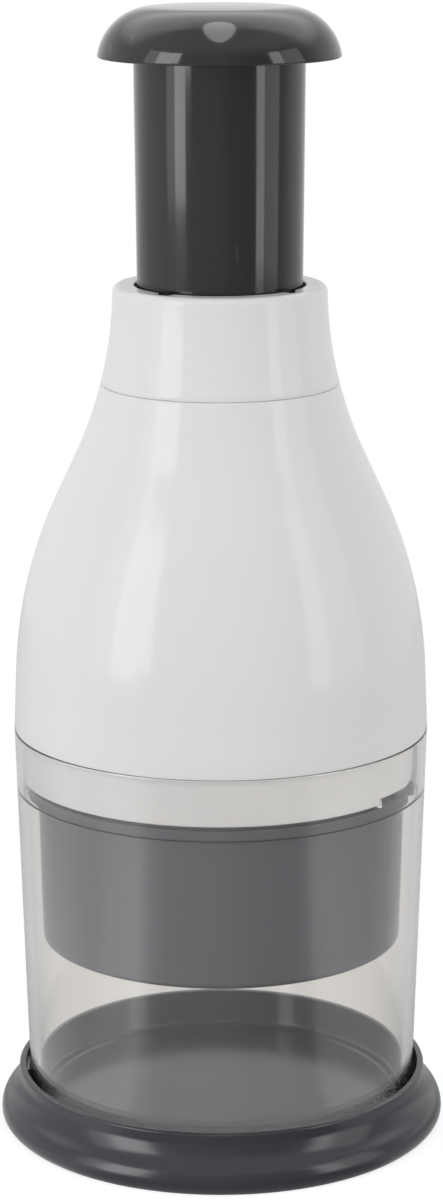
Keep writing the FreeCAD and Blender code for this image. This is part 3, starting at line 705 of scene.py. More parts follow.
@dataclass(frozen=True)
class Steel:
    """Rolled or turned steel with fine brush lines."""

    name: str
    colour: Colour
    roughness: float
    brush: Grain = Grain(120.0, 4.0, (1.0, 1.0, 30.0), 0.6)
    contrast: float = 0.94
    gloss_spread: Point = (0.85, 1.2)
    line_strength: float = 0.05
    line_depth: float = 0.00002

    def build(self) -> bpy.types.Material:
        """Makes the material.

        Returns:
            The new material.
        """
        board = NodeBoard(self.name)
        lines = board.noise(self.brush)
        dark = tuple(value * self.contrast for value in self.colour)
        tint = board.ramp(lines, [(0.3, dark), (0.7, self.colour)])
        board.link(tint, 0, board.shader, "Base Color")
        gloss = board.span(lines, self.roughness * self.gloss_spread[0], self.roughness * self.gloss_spread[1])
        board.link(gloss, 0, board.shader, "Roughness")
        board.bump(lines, self.line_strength, self.line_depth)
        board.set(Metallic=1.0)
        return board.material


@dataclass(frozen=True)
class SoftRubber:
    """Matt moulded rubber with a dusty skin."""

    name: str
    colour: Colour
    roughness: Point = (0.65, 0.85)
    paling: float = 1.6
    dust: Grain = Grain(180.0, 4.0)
    dust_strength: float = 0.2
    dust_depth: float = 0.00003

    def build(self) -> bpy.types.Material:
        """Makes the material.

        Returns:
            The new material.
        """
        board = NodeBoard(self.name)
        dust = board.noise(self.dust)
        pale = tuple(value * self.paling for value in self.colour)
        tint = board.ramp(dust, [(0.35, self.colour), (0.75, pale)])
        board.link(tint, 0, board.shader, "Base Color")
        board.link(board.span(dust, *self.roughness), 0, board.shader, "Roughness")
        board.bump(dust, self.dust_strength, self.dust_depth)
        return board.material


class Finishes:
    """The finish of each material slot, made once and shared by the pieces."""

    def __init__(self) -> None:
        """Makes every material."""
        self.by_slot: dict[Slot, bpy.types.Material] = {
            Slot.WHITE: MouldedPlastic("white_gloss", (0.715, 0.715, 0.717), 0.12, specular=0.25, mottle=0.01,
                                       glow=0.12).build(),
            Slot.DARK: MouldedPlastic("charcoal_gloss", (0.0135, 0.0137, 0.0155), 0.09, mottle=0.12,
                                      scuffs=0.4, waves=0.00012, foot_colour=(0.025, 0.024, 0.033)).build(),
            Slot.CUP: MouldedPlastic("grey_satin", (0.069, 0.066, 0.081), 0.22, mottle=0.04,
                                     skin_strength=0.01).build(),
            Slot.CLEAR: ClearPlastic("clear_warm", (0.975, 0.97, 0.96)).build(),
            Slot.INNER: MouldedPlastic("pale_satin", (0.6, 0.6, 0.58), 0.4, mottle=0.03).build(),
            Slot.BLADE: Steel("blade_steel", (0.62, 0.63, 0.65), 0.26,
                              Grain(120.0, 4.0, (30.0, 30.0, 1.0), 0.6)).build(),
            Slot.ROD: Steel("bright_steel", (0.58, 0.59, 0.61), 0.2).build(),
            Slot.RUBBER: SoftRubber("black_rubber", (0.02, 0.02, 0.02)).build(),
        }

    def dress(self, piece: bpy.types.Object, slot: Slot) -> None:
        """Gives a piece the finish of a slot.

        Args:
            piece: A mesh object, new or from the frame.
            slot: The slot whose finish it takes.
        """
        piece.data.materials.clear()
        piece.data.materials.append(self.by_slot[slot])


@dataclass
class SubAssembly:
    """What every group of pieces shares: its finishes, and how a piece joins the frame."""

    finishes: Finishes

    def place(self, piece: bpy.types.Object, body: Body, slot: Slot, *replaced: str) -> None:
        """Dresses a new piece and ties it to its body.

        Args:
            piece: The new piece.
            body: The body that it rides on.
            slot: The slot that it takes its finish from.
            replaced: Names of the frame's nodes that it stands for.
        """
        self.finishes.dress(piece, slot)
        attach(piece, body.value)
        if replaced:
            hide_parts(*replaced)
        low, high = piece_box(piece)
        LOG.info("%s rides on %s, %.1f to %.1f mm high", piece.name, body.value, low.z / MM, high.z / MM)


def piece_box(piece: bpy.types.Object) -> tuple[Vector, Vector]:
    """The corners of the box round a piece's own vertices.

    Args:
        piece: A mesh object.

    Returns:
        Its lowest and highest corner in metres.
    """
    corners = [vertex.co for vertex in piece.data.vertices]
    low = Vector([min(corner[axis] for corner in corners) for axis in range(3)])
    high = Vector([max(corner[axis] for corner in corners) for axis in range(3)])
    return low, high


@dataclass
class BaseDish(SubAssembly):
    """The dark dish under the sleeve, with a flared foot and ribs beneath."""

    floor_height: float = 4.4
    under_height: float = 2.2
    recess_radius: float = 40.0
    seat_radius: float = 38.76
    seat_step: float = 0.4
    rim_inner: float = 42.9
    rim_outer: float = 44.3
    rim_height: float = 12.0
    flare_top: float = 9.8
    flare_middle: Point = (45.02, 7.8)
    flare_foot: Point = (46.7, 5.6)
    lip_middle: Point = (47.92, 3.95)
    lip_radius: float = 48.3
    lip_height: float = 1.4
    foot: Point = (47.4, 0.02)
    foot_middle: Point = (48.0, 0.7)
    foot_steps: int = 6
    lip_steps: int = 8
    flare_steps: int = 10
    rib_count: int = 6
    rib_wall: float = 1.4
    rib_bite: float = 0.3
    hub_radius: float = 9.0
    hub_bite: float = 0.5
    rib_foot: float = 0.3
    pad_count: int = 3
    pad_wall: float = 0.72
    pad_bite: float = 0.2
    pad_drop: float = 1.5
    pad_start: float = 30.0
    pad_sweep: float = 10.7

    def section(self) -> list[Point]:
        """The half section, from the middle of the underside to the middle of the floor.

        Returns:
            Points (radius, height) in metres.
        """
        seat = self.floor_height + self.seat_step
        foot_radius, foot_height = self.foot
        under = half_section([
            Corner(0, self.under_height), Corner(self.recess_radius, self.under_height, 0.4),
            Corner(self.recess_radius, foot_height, 0.3), Corner(foot_radius, foot_height),
        ], closed=False)
        lip = (self.lip_radius, self.lip_height)
        top = (self.rim_outer, self.flare_top)
        side = arc_through(self.foot, self.foot_middle, lip, self.foot_steps)[1:]
        side += arc_through(lip, self.lip_middle, self.flare_foot, self.lip_steps)[1:]
        side += arc_through(self.flare_foot, self.flare_middle, top, self.flare_steps)[1:]
        rim = half_section([
            Corner(self.rim_outer, self.flare_top + 0.1), Corner(self.rim_outer, self.rim_height, 0.45),
            Corner(self.rim_inner, self.rim_height, 0.35), Corner(self.rim_inner, seat, 0.3),
            Corner(self.seat_radius, seat, 0.12), Corner(self.seat_radius - 0.4, self.floor_height, 0.25),
            Corner(0, self.floor_height),
        ], closed=False)
        return under + millimetres(side) + rim

    def build_pads(self) -> None:
        """Makes the pads in the rim that centre the sleeve."""
        for index in range(self.pad_count):
            start = self.pad_start + index * 360 / self.pad_count - self.pad_sweep / 2
            pad = sector_piece(f"base_pad_{index + 1}", self.rim_inner - self.pad_wall, self.rim_inner + self.pad_bite,
                               self.floor_height + self.seat_step, self.rim_height - self.pad_drop,
                               start, self.pad_sweep)
            self.place(pad, Body.BASE, Slot.DARK)

    def build_ribs(self) -> None:
        """Makes the hub and the ribs in the recess of the underside."""
        high = self.under_height + self.rib_bite
        inner = self.hub_radius - self.rib_wall
        hub = turned_piece("base_hub", half_section([
            Corner(inner, self.rib_foot, 0.2), Corner(self.hub_radius, self.rib_foot, 0.2),
            Corner(self.hub_radius, high), Corner(inner, high),
        ], closed=True), closed=True, segments=96)
        self.place(hub, Body.BASE, Slot.DARK)
        for index in range(self.rib_count):
            rib = spoke_piece(f"base_rib_{index + 1}", self.hub_radius - self.hub_bite,
                              self.recess_radius + self.rib_bite, self.rib_wall, self.rib_foot, high,
                              index * 360 / self.rib_count)
            self.place(rib, Body.BASE, Slot.DARK)

    def build(self) -> None:
        """Makes the dish, its pads and the ribs beneath it."""
        dish = turned_piece("base_dish", self.section(), closed=False, segments=256)
        self.place(dish, Body.BASE, Slot.DARK, "base_cap")
        self.build_pads()
        self.build_ribs()


def spoke_piece(name: str, inner: float, outer: float, width: float, low: float, high: float,
                degrees: float) -> bpy.types.Object:
    """A rib that runs outwards from the axis, with its edges rounded.

    Args:
        name: Name of the piece.
        inner: Radius where it starts, in millimetres.
        outer: Radius where it ends.
        width: Its thickness.
        low: Lower height.
        high: Upper height.
        degrees: Its direction, counted from +X.

    Returns:
        The new piece.
    """
    turn = math.radians(degrees)
    along = Vector((math.cos(turn), math.sin(turn), 0))
    across = Vector((-math.sin(turn), math.cos(turn), 0))
    soften = min(0.25, width / 4)
    section = [(-width / 2, high), (-width / 2, low + soften), (-width / 2 + soften, low),
               (width / 2 - soften, low), (width / 2, low + soften), (width / 2, high)]
    vertices: list[Triple] = []
    for radius in (inner, outer):
        for side, height in section:
            spot = along * radius + across * side
            vertices.append((spot.x * MM, spot.y * MM, height * MM))
    return new_object(name, vertices, prism_faces(len(section)))


@dataclass
class ClearSleeve(SubAssembly):
    """The clear tapered sleeve, with a stepped top and two bayonet lugs inside it."""

    foot_height: float = 5.0
    foot_radius: float = 41.76
    top_height: float = 88.3
    top_radius: float = 44.23
    wall: float = 2.2
    ledge_height: float = 75.0
    counterbore: float = 42.2
    lug_count: int = 2
    lug_bite: float = 0.5
    lug_inner: float = 40.6
    lug_start: float = 50.8
    lug_sweep: float = 6.15
    lug_low: float = 77.4
    lug_high: float = 79.2

    def radius_at(self, height: float) -> float:
        """Outer radius at a height."""
        share = (height - self.foot_height) / (self.top_height - self.foot_height)
        return self.foot_radius + (self.top_radius - self.foot_radius) * share

    def build(self) -> None:
        """Makes the sleeve and its bayonet lugs."""
        section = half_section([
            Corner(self.foot_radius - self.wall, self.foot_height, 0.5),
            Corner(self.foot_radius, self.foot_height, 0.6),
            Corner(self.top_radius, self.top_height, 0.35),
            Corner(self.counterbore, self.top_height, 0.3),
            Corner(self.counterbore, self.ledge_height, 0.25),
            Corner(self.radius_at(self.ledge_height) - self.wall, self.ledge_height, 0.3),
        ], closed=True)
        sleeve = turned_piece("sleeve_clear", section, closed=True, segments=256)
        add_on(sleeve, [sector_piece("bayonet_lug", self.lug_inner, self.counterbore + self.lug_bite, self.lug_low,
                                     self.lug_high, self.lug_start + index * 360 / self.lug_count, self.lug_sweep)
                        for index in range(self.lug_count)])
        self.place(sleeve, Body.SLEEVE, Slot.CLEAR, "clear_sleeve")


@dataclass
class BottleHousing(SubAssembly):
    """The white housing, its collar and its inner bosses."""

    bottom_height: float = 88.4
    bottom_radius: float = 44.2
    shoulder: Corner = field(default_factory=lambda: Corner(42.84, 120.74, 96.8))
    neck: Corner = field(default_factory=lambda: Corner(22.56, 164.04, 85.2))
    seam_height: float = 162.25
    top_height: float = 183.0
    top_radius: float = 22.4
    wall: float = 2.4
    spigot_radius: float = 41.9
    spigot_inner: float = 39.6
    spigot_bottom: float = 78.0
    ceiling_height: float = 152.25
    neck_bore: float = 23.0
    collar_bore: float = 17.9
    collar_stop: float = 164.4
    skirt_radius: float = 22.9
    skirt_inner: float = 21.5
    skirt_bottom: float = 153.95
    notch_count: int = 4
    notch_angle: float = 52.4
    notch_width: float = 4.4
    notch_depth: float = 2.4
    notch_height: float = 8.0
    ledge_start: float = 50.4
    ledge_height: float = 79.5
    entry_start: float = 69.3
    entry_sweep: float = 9.0
    entry_round: float = 4.0
    entry_steps: int = 6
    entry_count: int = 2
    cutter_margin: float = 1.0
    inner_start: float = 116.0
    seam_gap: float = 0.3
    shell_edge: tuple[Point, ...] = ((0.08, 0.12), (0.3, 0.0), (0.6, 0.0))
    collar_edge: tuple[Point, ...] = ((0.6, 0.0), (0.28, 0.0), (0.06, 0.12))
    collar_round: float = 1.4
    collar_steps: int = 8
    boss_count: int = 3
    boss_start: float = 30.0
    boss_circle: float = 29.5
    boss_radius: float = 4.0
    boss_bore: float = 1.4
    boss_low: float = 118.7
    boss_high: float = 138.5
    boss_depth: float = 12.0

    def side(self, inset: float) -> list[Point]:
        """The side from bottom to top, moved in by a wall.

        Args:
            inset: Distance inside the outer skin, in millimetres.

        Returns:
            Points (radius, height) in metres.
        """
        return half_section([
            Corner(self.bottom_radius - inset, self.bottom_height),
            Corner(self.shoulder.radius - inset, self.shoulder.height, self.shoulder.rounding - inset),
            Corner(self.neck.radius - inset, self.neck.height, self.neck.rounding + inset),
            Corner(self.top_radius - inset, self.top_height),
        ], closed=False)

    def stretch(self, inset: float, low: float, high: float) -> list[Point]:
        """The part of the side between two heights, with its ends put exactly on them.

        Args:
            inset: Distance inside the outer skin, in millimetres.
            low: Lower height.
            high: Upper height.

        Returns:
            Points (radius, height) in metres.
        """
        side = self.side(inset)
        apart = 0.25
        points = [(side_radius(side, low * MM), low * MM)]
        points.extend(point for point in side if (low + apart) * MM < point[1] < (high - apart) * MM)
        points.append((side_radius(side, high * MM), high * MM))
        return points

    def shell_section(self) -> list[Point]:
        """The half section of the shell, from the foot of its side round by the neck and the spigot.

        Returns:
            Points (radius, height) in metres.
        """
        outer = self.stretch(0, self.bottom_height + 0.25, self.seam_height - self.seam_gap)
        inner = self.stretch(self.wall, self.inner_start, self.ceiling_height)[::-1]
        seam_radius = outer[-1][0] / MM
        neck = [(seam_radius - inset, self.seam_height - drop) for inset, drop in self.shell_edge]
        neck += [(self.neck_bore + 0.2, self.seam_height), (self.neck_bore, self.seam_height - 0.2),
                 (self.neck_bore, self.ceiling_height)]
        spigot = half_section([
            Corner(self.spigot_inner, self.inner_start - 0.5), Corner(self.spigot_inner, self.spigot_bottom, 0.3),
            Corner(self.spigot_radius, self.spigot_bottom, 0.35), Corner(self.spigot_radius, self.bottom_height, 0.2),
            Corner(self.bottom_radius, self.bottom_height),
        ], closed=False)[:-1]
        foot = [(self.bottom_radius - 0.3, self.bottom_height), (self.bottom_radius - 0.08, self.bottom_height + 0.08)]
        return outer + millimetres(neck) + inner + spigot + millimetres(foot)

    def build_shell(self) -> None:
        """Makes the housing shell with its spigot and bayonet ledges."""
        shell = turned_piece("housing_shell", self.shell_section(), closed=True, segments=256)
        cut_away(shell, [self.bayonet_cutter(index * 360 / self.entry_count) for index in range(self.entry_count)])
        self.place(shell, Body.HOUSING, Slot.WHITE, "upper_housing")

    def build_bosses(self) -> None:
        """Makes the screw bosses inside the shell."""
        for index in range(self.boss_count):
            angle = math.radians(self.boss_start + index * 360 / self.boss_count)
            boss = boss_piece(f"housing_boss_{index + 1}", self.boss_circle * math.cos(angle),
                              self.boss_circle * math.sin(angle), self.boss_radius, self.boss_bore, self.boss_depth,
                              self.boss_low, self.boss_high)
            self.place(boss, Body.HOUSING, Slot.WHITE)

    def bayonet_cutter(self, turn: float) -> bpy.types.Object:
        """The space of one bayonet lug: its way in, and the ledge that it slides under.

        Args:
            turn: Angle that the cutter is turned by, in degrees.

        Returns:
            The cutter.
        """
        spread = math.degrees(1 / self.spigot_radius)
        low = self.spigot_bottom - self.cutter_margin
        high = self.bottom_height - 0.02
        end = self.entry_start + self.entry_sweep
        outline = [(self.ledge_start, low), (end, low), (end, high), (self.entry_start, high)]
        for step in range(self.entry_steps + 1):
            angle = math.pi / 2 * step / self.entry_steps
            outline.append((self.entry_start - self.entry_round * spread * (1 - math.cos(angle)),
                            self.ledge_height + self.entry_round * (1 - math.sin(angle))))
        outline.append((self.ledge_start, self.ledge_height))
        return wrapped_piece("bayonet_space", self.spigot_inner - 2 * self.cutter_margin,
                             self.spigot_radius + 3 * self.cutter_margin,
                             [(degrees + turn, height) for degrees, height in outline])

    def build_collar(self) -> None:
        """Makes the collar with its four notches."""
        rounding = self.collar_round
        outer = self.stretch(0, self.seam_height + self.seam_gap, self.top_height - rounding)
        foot = outer[0][0] / MM
        outline = millimetres([(foot - inset, self.seam_height + rise) for inset, rise in self.collar_edge]) + outer
        last = outer[-1][0] / MM
        for index in range(1, self.collar_steps + 1):
            angle = math.pi / 2 * index / self.collar_steps
            outline.append(((last - rounding + rounding * math.cos(angle)) * MM,
                            (self.top_height - rounding + rounding * math.sin(angle)) * MM))
        outline += half_section([
            Corner(last - 1.7, self.top_height), Corner(self.collar_bore, self.top_height, 0.3),
            Corner(self.collar_bore, self.collar_stop, 0.1), Corner(self.skirt_inner, self.collar_stop, 0.2),
            Corner(self.skirt_inner, self.skirt_bottom, 0.2), Corner(self.skirt_radius, self.skirt_bottom, 0.3),
            Corner(self.skirt_radius, self.seam_height, 0.1), Corner(foot - 0.8, self.seam_height),
        ], closed=False)
        collar = turned_piece("collar_ring", outline, closed=True, segments=192)
        cut_away(collar, [notch_cutter(self.notch_angle - 90 + index * 360 / self.notch_count,
                                       self.collar_bore - self.cutter_margin, self.collar_bore + self.notch_depth,
                                       self.notch_width, self.top_height - self.notch_height,
                                       self.top_height + self.cutter_margin)
                          for index in range(self.notch_count)])
        self.place(collar, Body.HOUSING, Slot.WHITE, "neck_collar")

    def build(self) -> None:
        """Makes the shell, its bosses and the collar."""
        self.build_shell()
        self.build_bosses()
        self.build_collar()


def notch_cutter(degrees: float, inner: float, outer: float, width: float, low: float,
                 high: float) -> bpy.types.Object:
    """A straight sided block that cuts a notch with a rounded back.

    Args:
        degrees: Its direction, counted from +X.
        inner: Radius where it starts, in millimetres.
        outer: Radius of its rounded back.
        width: Its width.
        low: Lower height.
        high: Upper height.

    Returns:
        The cutter.
    """
    turn = math.radians(degrees)
    rounding = 0.6
    steps = 4
    outline = [(inner, -width / 2)]
    for across, start in ((-width / 2 + rounding, -90), (width / 2 - rounding, 0)):
        for step in range(steps + 1):
            angle = math.radians(start + 90 * step / steps)
            outline.append((outer - rounding + rounding * math.cos(angle), across + rounding * math.sin(angle)))
    outline.append((inner, width / 2))
    vertices: list[Triple] = []
    for height in (low, high):
        for along, across in outline:
            x = along * math.cos(turn) - across * math.sin(turn)
            y = along * math.sin(turn) + across * math.cos(turn)
            vertices.append((x * MM, y * MM, height * MM))
    return new_object("notch", vertices, prism_faces(len(outline)))


def boss_piece(name: str, x: float, y: float, radius: float, bore: float, depth: float, low: float,
               high: float) -> bpy.types.Object:
    """An upright screw boss with a blind bore.

    Args:
        name: Name of the piece.
        x: Its axis along X, in millimetres.
        y: Its axis along Y.
        radius: Outer radius.
        bore: Radius of the screw hole.
        depth: How far the hole goes up into the boss.
        low: Lower height.
        high: Upper height.

    Returns:
        The new piece.
    """
    section = half_section([
        Corner(0, low + depth), Corner(bore, low + depth, 0.2), Corner(bore, low, 0.2), Corner(radius, low, 0.3),
        Corner(radius, high, 0.5), Corner(0, high),
    ], closed=False)
    boss = turned_piece(name, section, closed=False, segments=48)
    for vertex in boss.data.vertices:
        vertex.co.x += x * MM
        vertex.co.y += y * MM
    return boss


@dataclass
class GuardCup(SubAssembly):
    """The grey cup round the blades, with its flange, neck, lip and snap beads."""

    top_radius: float = 39.4
    bottom_radius: float = 38.66
    bottom_height: float = 41.7
    wall: float = 1.5
    flange_radius: float = 41.3
    flange_low: float = 74.7
    flange_high: float = 77.1
    neck_radius: float = 39.6
    neck_top: float = 84.0
    lip_top: float = 42.6
    lip_inner: float = 34.98
    draft: float = 0.05
    neck_wall: float = 1.7
    band_height: float = 78.0
    band_step: float = 0.6
    entry_count: int = 2
    entry_start: float = 69.3
    entry_sweep: float = 9.0
    bead_count: int = 3
    bead_inner: float = 36.4
    bead_outer: float = 37.5
    bead_low: float = 44.0
    bead_high: float = 44.6
    bead_sweep: float = 9.2

    def build_cup(self) -> None:
        """Makes the cup with the ways that let the bayonet lugs past."""
        band = self.neck_radius + self.band_step
        section = half_section([
            Corner(self.lip_inner, self.bottom_height, 0.2), Corner(self.bottom_radius, self.bottom_height, 2.0),
            Corner(self.top_radius - self.draft, self.flange_low, 0.3),
            Corner(self.flange_radius, self.flange_low, 0.3), Corner(self.flange_radius, self.flange_high, 0.3),
            Corner(band, self.flange_high, 0.2),
            Corner(band, self.band_height, 0.1), Corner(self.neck_radius, self.band_height, 0.1),
            Corner(self.neck_radius, self.neck_top, 0.3), Corner(self.neck_radius - self.neck_wall, self.neck_top, 0.3),
            Corner(self.top_radius - self.wall - self.draft, self.flange_low, 0.5),
            Corner(self.bottom_radius - self.wall + 0.02, self.lip_top, 0.3),
            Corner(self.lip_inner, self.lip_top, 0.2),
        ], closed=True)
        cup = turned_piece("cup_guard", section, closed=True, segments=256)
        cut_away(cup, [sector_piece("lug_way", band + 0.05, self.flange_radius + 1, self.flange_low - 0.4,
                                    self.flange_high + 1, self.entry_start + index * 360 / self.entry_count,
                                    self.entry_sweep)
                       for index in range(self.entry_count)])
        self.place(cup, Body.HOUSING, Slot.CUP, "guard_cup")

    def build_beads(self) -> None:
        """Makes the snap beads that hold the stripper disc."""
        for index in range(self.bead_count):
            start = 180 + index * 360 / self.bead_count - self.bead_sweep / 2
            bead = sector_piece(f"cup_bead_{index + 1}", self.bead_inner, self.bead_outer, self.bead_low,
                                self.bead_high, start, self.bead_sweep)
            self.place(bead, Body.HOUSING, Slot.CUP)

    def build(self) -> None:
        """Makes the cup and its beads."""
        self.build_cup()
        self.build_beads()


@dataclass
class Plunger(SubAssembly):
    """The domed knob and the tube that slides in the collar."""

    knob_radius: float = 25.21
    knob_top: float = 240.26
    foot_height: float = 229.6
    shoulder_height: float = 228.33
    shoulder_round: float = 11.57
    edge_round: float = 0.4
    shell: float = 2.4
    tube_bottom: float = 160.1
    tube_top: float = 229.85
    tube_low_radius: float = 17.09
    tube_high_radius: float = 17.715
    tube_wall: float = 1.9
    tube_eye: float = 8.25
    shelf_height: float = 226.5
    lip_round: float = 0.3
    edge_curve: tuple[Point, ...] = ((0.55, 0.0), (0.36, 0.03), (0.16, 0.12), (0.04, 0.25))
    shoulder_steps: int = 24
    crown_steps: int = 16
    seat_inner: float = 14.1
    seat_outer: float = 18.9
    seat_tops: Point = (238.6, 237.0)
    boss_radius: float = 8.2
    boss_bore: float = 4.05
    boss_top: float = 239.0
    rib_count: int = 6
    rib_inner: float = 18.7
    rib_outer: float = 23.0
    rib_wall: float = 1.3
    rib_low: float = 230.2
    rib_high: float = 232.9
    lug_count: int = 4
    lug_angle: float = 52.4
    lug_root: float = 16.4
    lug_crest: float = 19.4
    lug_middle: float = 18.0
    lug_width: float = 4.4
    lug_height: float = 4.0

    def dome(self, inset: float, low: float) -> list[Point]:
        """The dome from its lower edge to the middle of its top.

        Args:
            inset: Distance inside the outer skin, in millimetres.
            low: Height where it starts.

        Returns:
            Points (radius, height) in millimetres.
        """
        rise = self.knob_top - self.shoulder_height
        reach = self.knob_radius - self.shoulder_round
        crown = (reach ** 2 + rise ** 2 - self.shoulder_round ** 2) / (2 * (rise - self.shoulder_round))
        crown_height = self.knob_top - crown
        meeting = math.atan2(self.shoulder_height - crown_height, reach)
        shoulder = self.shoulder_round - inset
        first = math.asin((low - self.shoulder_height) / shoulder)
        points: list[Point] = []
        for index in range(self.shoulder_steps + 1):
            angle = first + (meeting - first) * index / self.shoulder_steps
            points.append((reach + shoulder * math.cos(angle), self.shoulder_height + shoulder * math.sin(angle)))
        radius = crown - inset
        for index in range(1, self.crown_steps + 1):
            angle = meeting + (math.pi / 2 - meeting) * index / self.crown_steps
            points.append((max(0.0, radius * math.cos(angle)), crown_height + radius * math.sin(angle)))
        points[-1] = (0.0, self.knob_top - inset)
        return points

    def build_knob(self) -> None:
        """Makes the knob with its hollow underside."""
        foot = self.foot_height
        inner = self.dome(self.shell, foot + self.lip_round)[::-1]
        outer = self.dome(0, foot + self.edge_round)
        side = outer[0][0]
        lip = inner[-1][0]
        edge = [(lip + self.lip_round, foot)]
        edge += [(side - inset, foot + rise) for inset, rise in self.edge_curve]
        knob = turned_piece("knob_dome", millimetres(inner + edge + outer), closed=False, segments=256)
        self.place(knob, Body.PLUNGER, Slot.DARK, "plunger_knob")

    def build_underside(self) -> None:
        """Makes the seat ring, the boss and the ribs under the knob."""
        seat_foot = self.tube_top + 0.05
        seat = turned_piece("knob_seat", half_section([
            Corner(self.seat_inner, seat_foot, 0.2), Corner(self.seat_outer, seat_foot, 0.2),
            Corner(self.seat_outer, self.seat_tops[1]), Corner(self.seat_inner, self.seat_tops[0]),
        ], closed=True), closed=True, segments=128)
        self.place(seat, Body.PLUNGER, Slot.DARK)
        boss = turned_piece("knob_boss", half_section([
            Corner(self.boss_bore, self.shelf_height, 0.2), Corner(self.boss_radius, self.shelf_height, 0.3),
            Corner(self.boss_radius, self.boss_top), Corner(self.boss_bore, self.boss_top),
        ], closed=True), closed=True, segments=96)
        self.place(boss, Body.PLUNGER, Slot.DARK)
        for index in range(self.rib_count):
            rib = spoke_piece(f"knob_rib_{index + 1}", self.rib_inner, self.rib_outer, self.rib_wall, self.rib_low,
                              self.rib_high, index * 360 / self.rib_count)
            self.place(rib, Body.PLUNGER, Slot.DARK)

    def build_tube(self) -> None:
        """Makes the tube with its end wall and guide lugs."""
        section = half_section([
            Corner(self.tube_low_radius - self.tube_wall, self.tube_bottom, 0.3),
            Corner(self.tube_low_radius, self.tube_bottom, 0.5),
            Corner(self.tube_high_radius, self.tube_top, 0.2), Corner(self.tube_eye, self.tube_top, 0.2),
            Corner(self.tube_eye, self.shelf_height, 0.2),
            Corner(self.tube_high_radius - self.tube_wall, self.shelf_height, 0.4),
        ], closed=True)
        tube = turned_piece("tube_sliding", section, closed=True, segments=256)
        sweep = math.degrees(self.lug_width / self.lug_middle)
        add_on(tube, [sector_piece("guide_lug", self.lug_root, self.lug_crest, self.tube_bottom,
                                   self.tube_bottom + self.lug_height,
                                   self.lug_angle + index * 360 / self.lug_count - sweep / 2, sweep)
                      for index in range(self.lug_count)])
        self.place(tube, Body.PLUNGER, Slot.DARK, "plunger_tube")

    def build(self) -> None:
        """Makes the knob, what is under it, and the tube."""
        self.build_knob()
        self.build_underside()
        self.build_tube()


@dataclass
class ReturnSpring(SubAssembly):
    """The coil round the drive rod, between its seat and its cap."""

    mean_radius: float = 8.6
    wire_radius: float = 0.66
    turns: float = 15.0
    ground_turns: float = 1.25
    stroke: float = 39.5
    steps_per_turn: int = 28
    wire_sides: int = 10
    sharp_degrees: float = 60.0
    bottom: float = field(init=False)
    top: float = field(init=False)

    def __post_init__(self) -> None:
        """Takes the ends of the coil from the frame's spring."""
        low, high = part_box("return_spring")
        self.bottom, self.top = low[2] / MM, high[2] / MM

    def climb_share(self, share: float, climb: float) -> float:
        """How far up the wire is at a place along it, with its end turns laid closed.

        Args:
            share: Place along the wire, from 0 to 1.
            climb: How far up the whole wire goes, in millimetres.

        Returns:
            The share of the climb, from 0 to 1.
        """
        closed = self.ground_turns / self.turns
        end_rise = 2 * self.wire_radius / climb * self.ground_turns
        if share < closed:
            return end_rise * share / closed
        if share > 1 - closed:
            return 1 - end_rise * (1 - share) / closed
        return end_rise + (1 - 2 * end_rise) * (share - closed) / (1 - 2 * closed)

    def build(self) -> None:
        """Makes the coil as one unbroken wire."""
        climb = self.top - self.bottom - 2 * self.wire_radius
        steps = round(self.turns * self.steps_per_turn)
        vertices: list[Triple] = []
        for step in range(steps + 1):
            share = step / steps
            turn = 2 * math.pi * self.turns * share
            middle = self.bottom + self.wire_radius + climb * self.climb_share(share, climb)
            for side in range(self.wire_sides):
                around = 2 * math.pi * side / self.wire_sides
                radius = self.mean_radius + self.wire_radius * math.cos(around)
                vertices.append((radius * math.cos(turn) * MM, radius * math.sin(turn) * MM,
                                 (middle + self.wire_radius * math.sin(around)) * MM))
        count = self.wire_sides
        faces: list[Face] = [tuple(range(count)), tuple(reversed(range(steps * count, (steps + 1) * count)))]
        for step in range(steps):
            near, far = step * count, (step + 1) * count
            for side in range(count):
                after = (side + 1) % count
                faces.append((near + side, far + side, far + after, near + after))
        coil = new_object("return_coil", vertices, faces)
        smooth_piece(coil, self.sharp_degrees)
        self.place(coil, Body.PLUNGER, Slot.ROD, "return_spring")
        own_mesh(coil)


@dataclass
class CarriedNodes(SubAssembly):
    """The frame's own pieces, which keep their shape and get their finish here."""

    slots: dict[str, Slot] = field(default_factory=lambda: {
        "guide_insert": Slot.INNER, "fixed_crown": Slot.INNER, "housing_screws": Slot.ROD,
        "travel_bumper": Slot.RUBBER, "spring_seat": Slot.ROD, "stripper_disc": Slot.CUP,
        "centre_blade": Slot.BLADE, "rear_blade": Slot.BLADE, "front_blade": Slot.BLADE,
        "blade_carrier": Slot.INNER, "clamp_plate": Slot.BLADE, "clamp_screws": Slot.ROD,
        "rotor_crown": Slot.INNER, "knob_nut": Slot.ROD, "drive_rod": Slot.ROD,
        "thrust_washer": Slot.ROD, "retaining_clip": Slot.ROD, "spring_cap": Slot.ROD,
    })

    def build(self) -> None:
        """Dresses each of the frame's pieces."""
        for name, slot in self.slots.items():
            self.finishes.dress(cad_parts[name], slot)
            LOG.info("%s keeps its shape with the finish %s", name, slot.value)


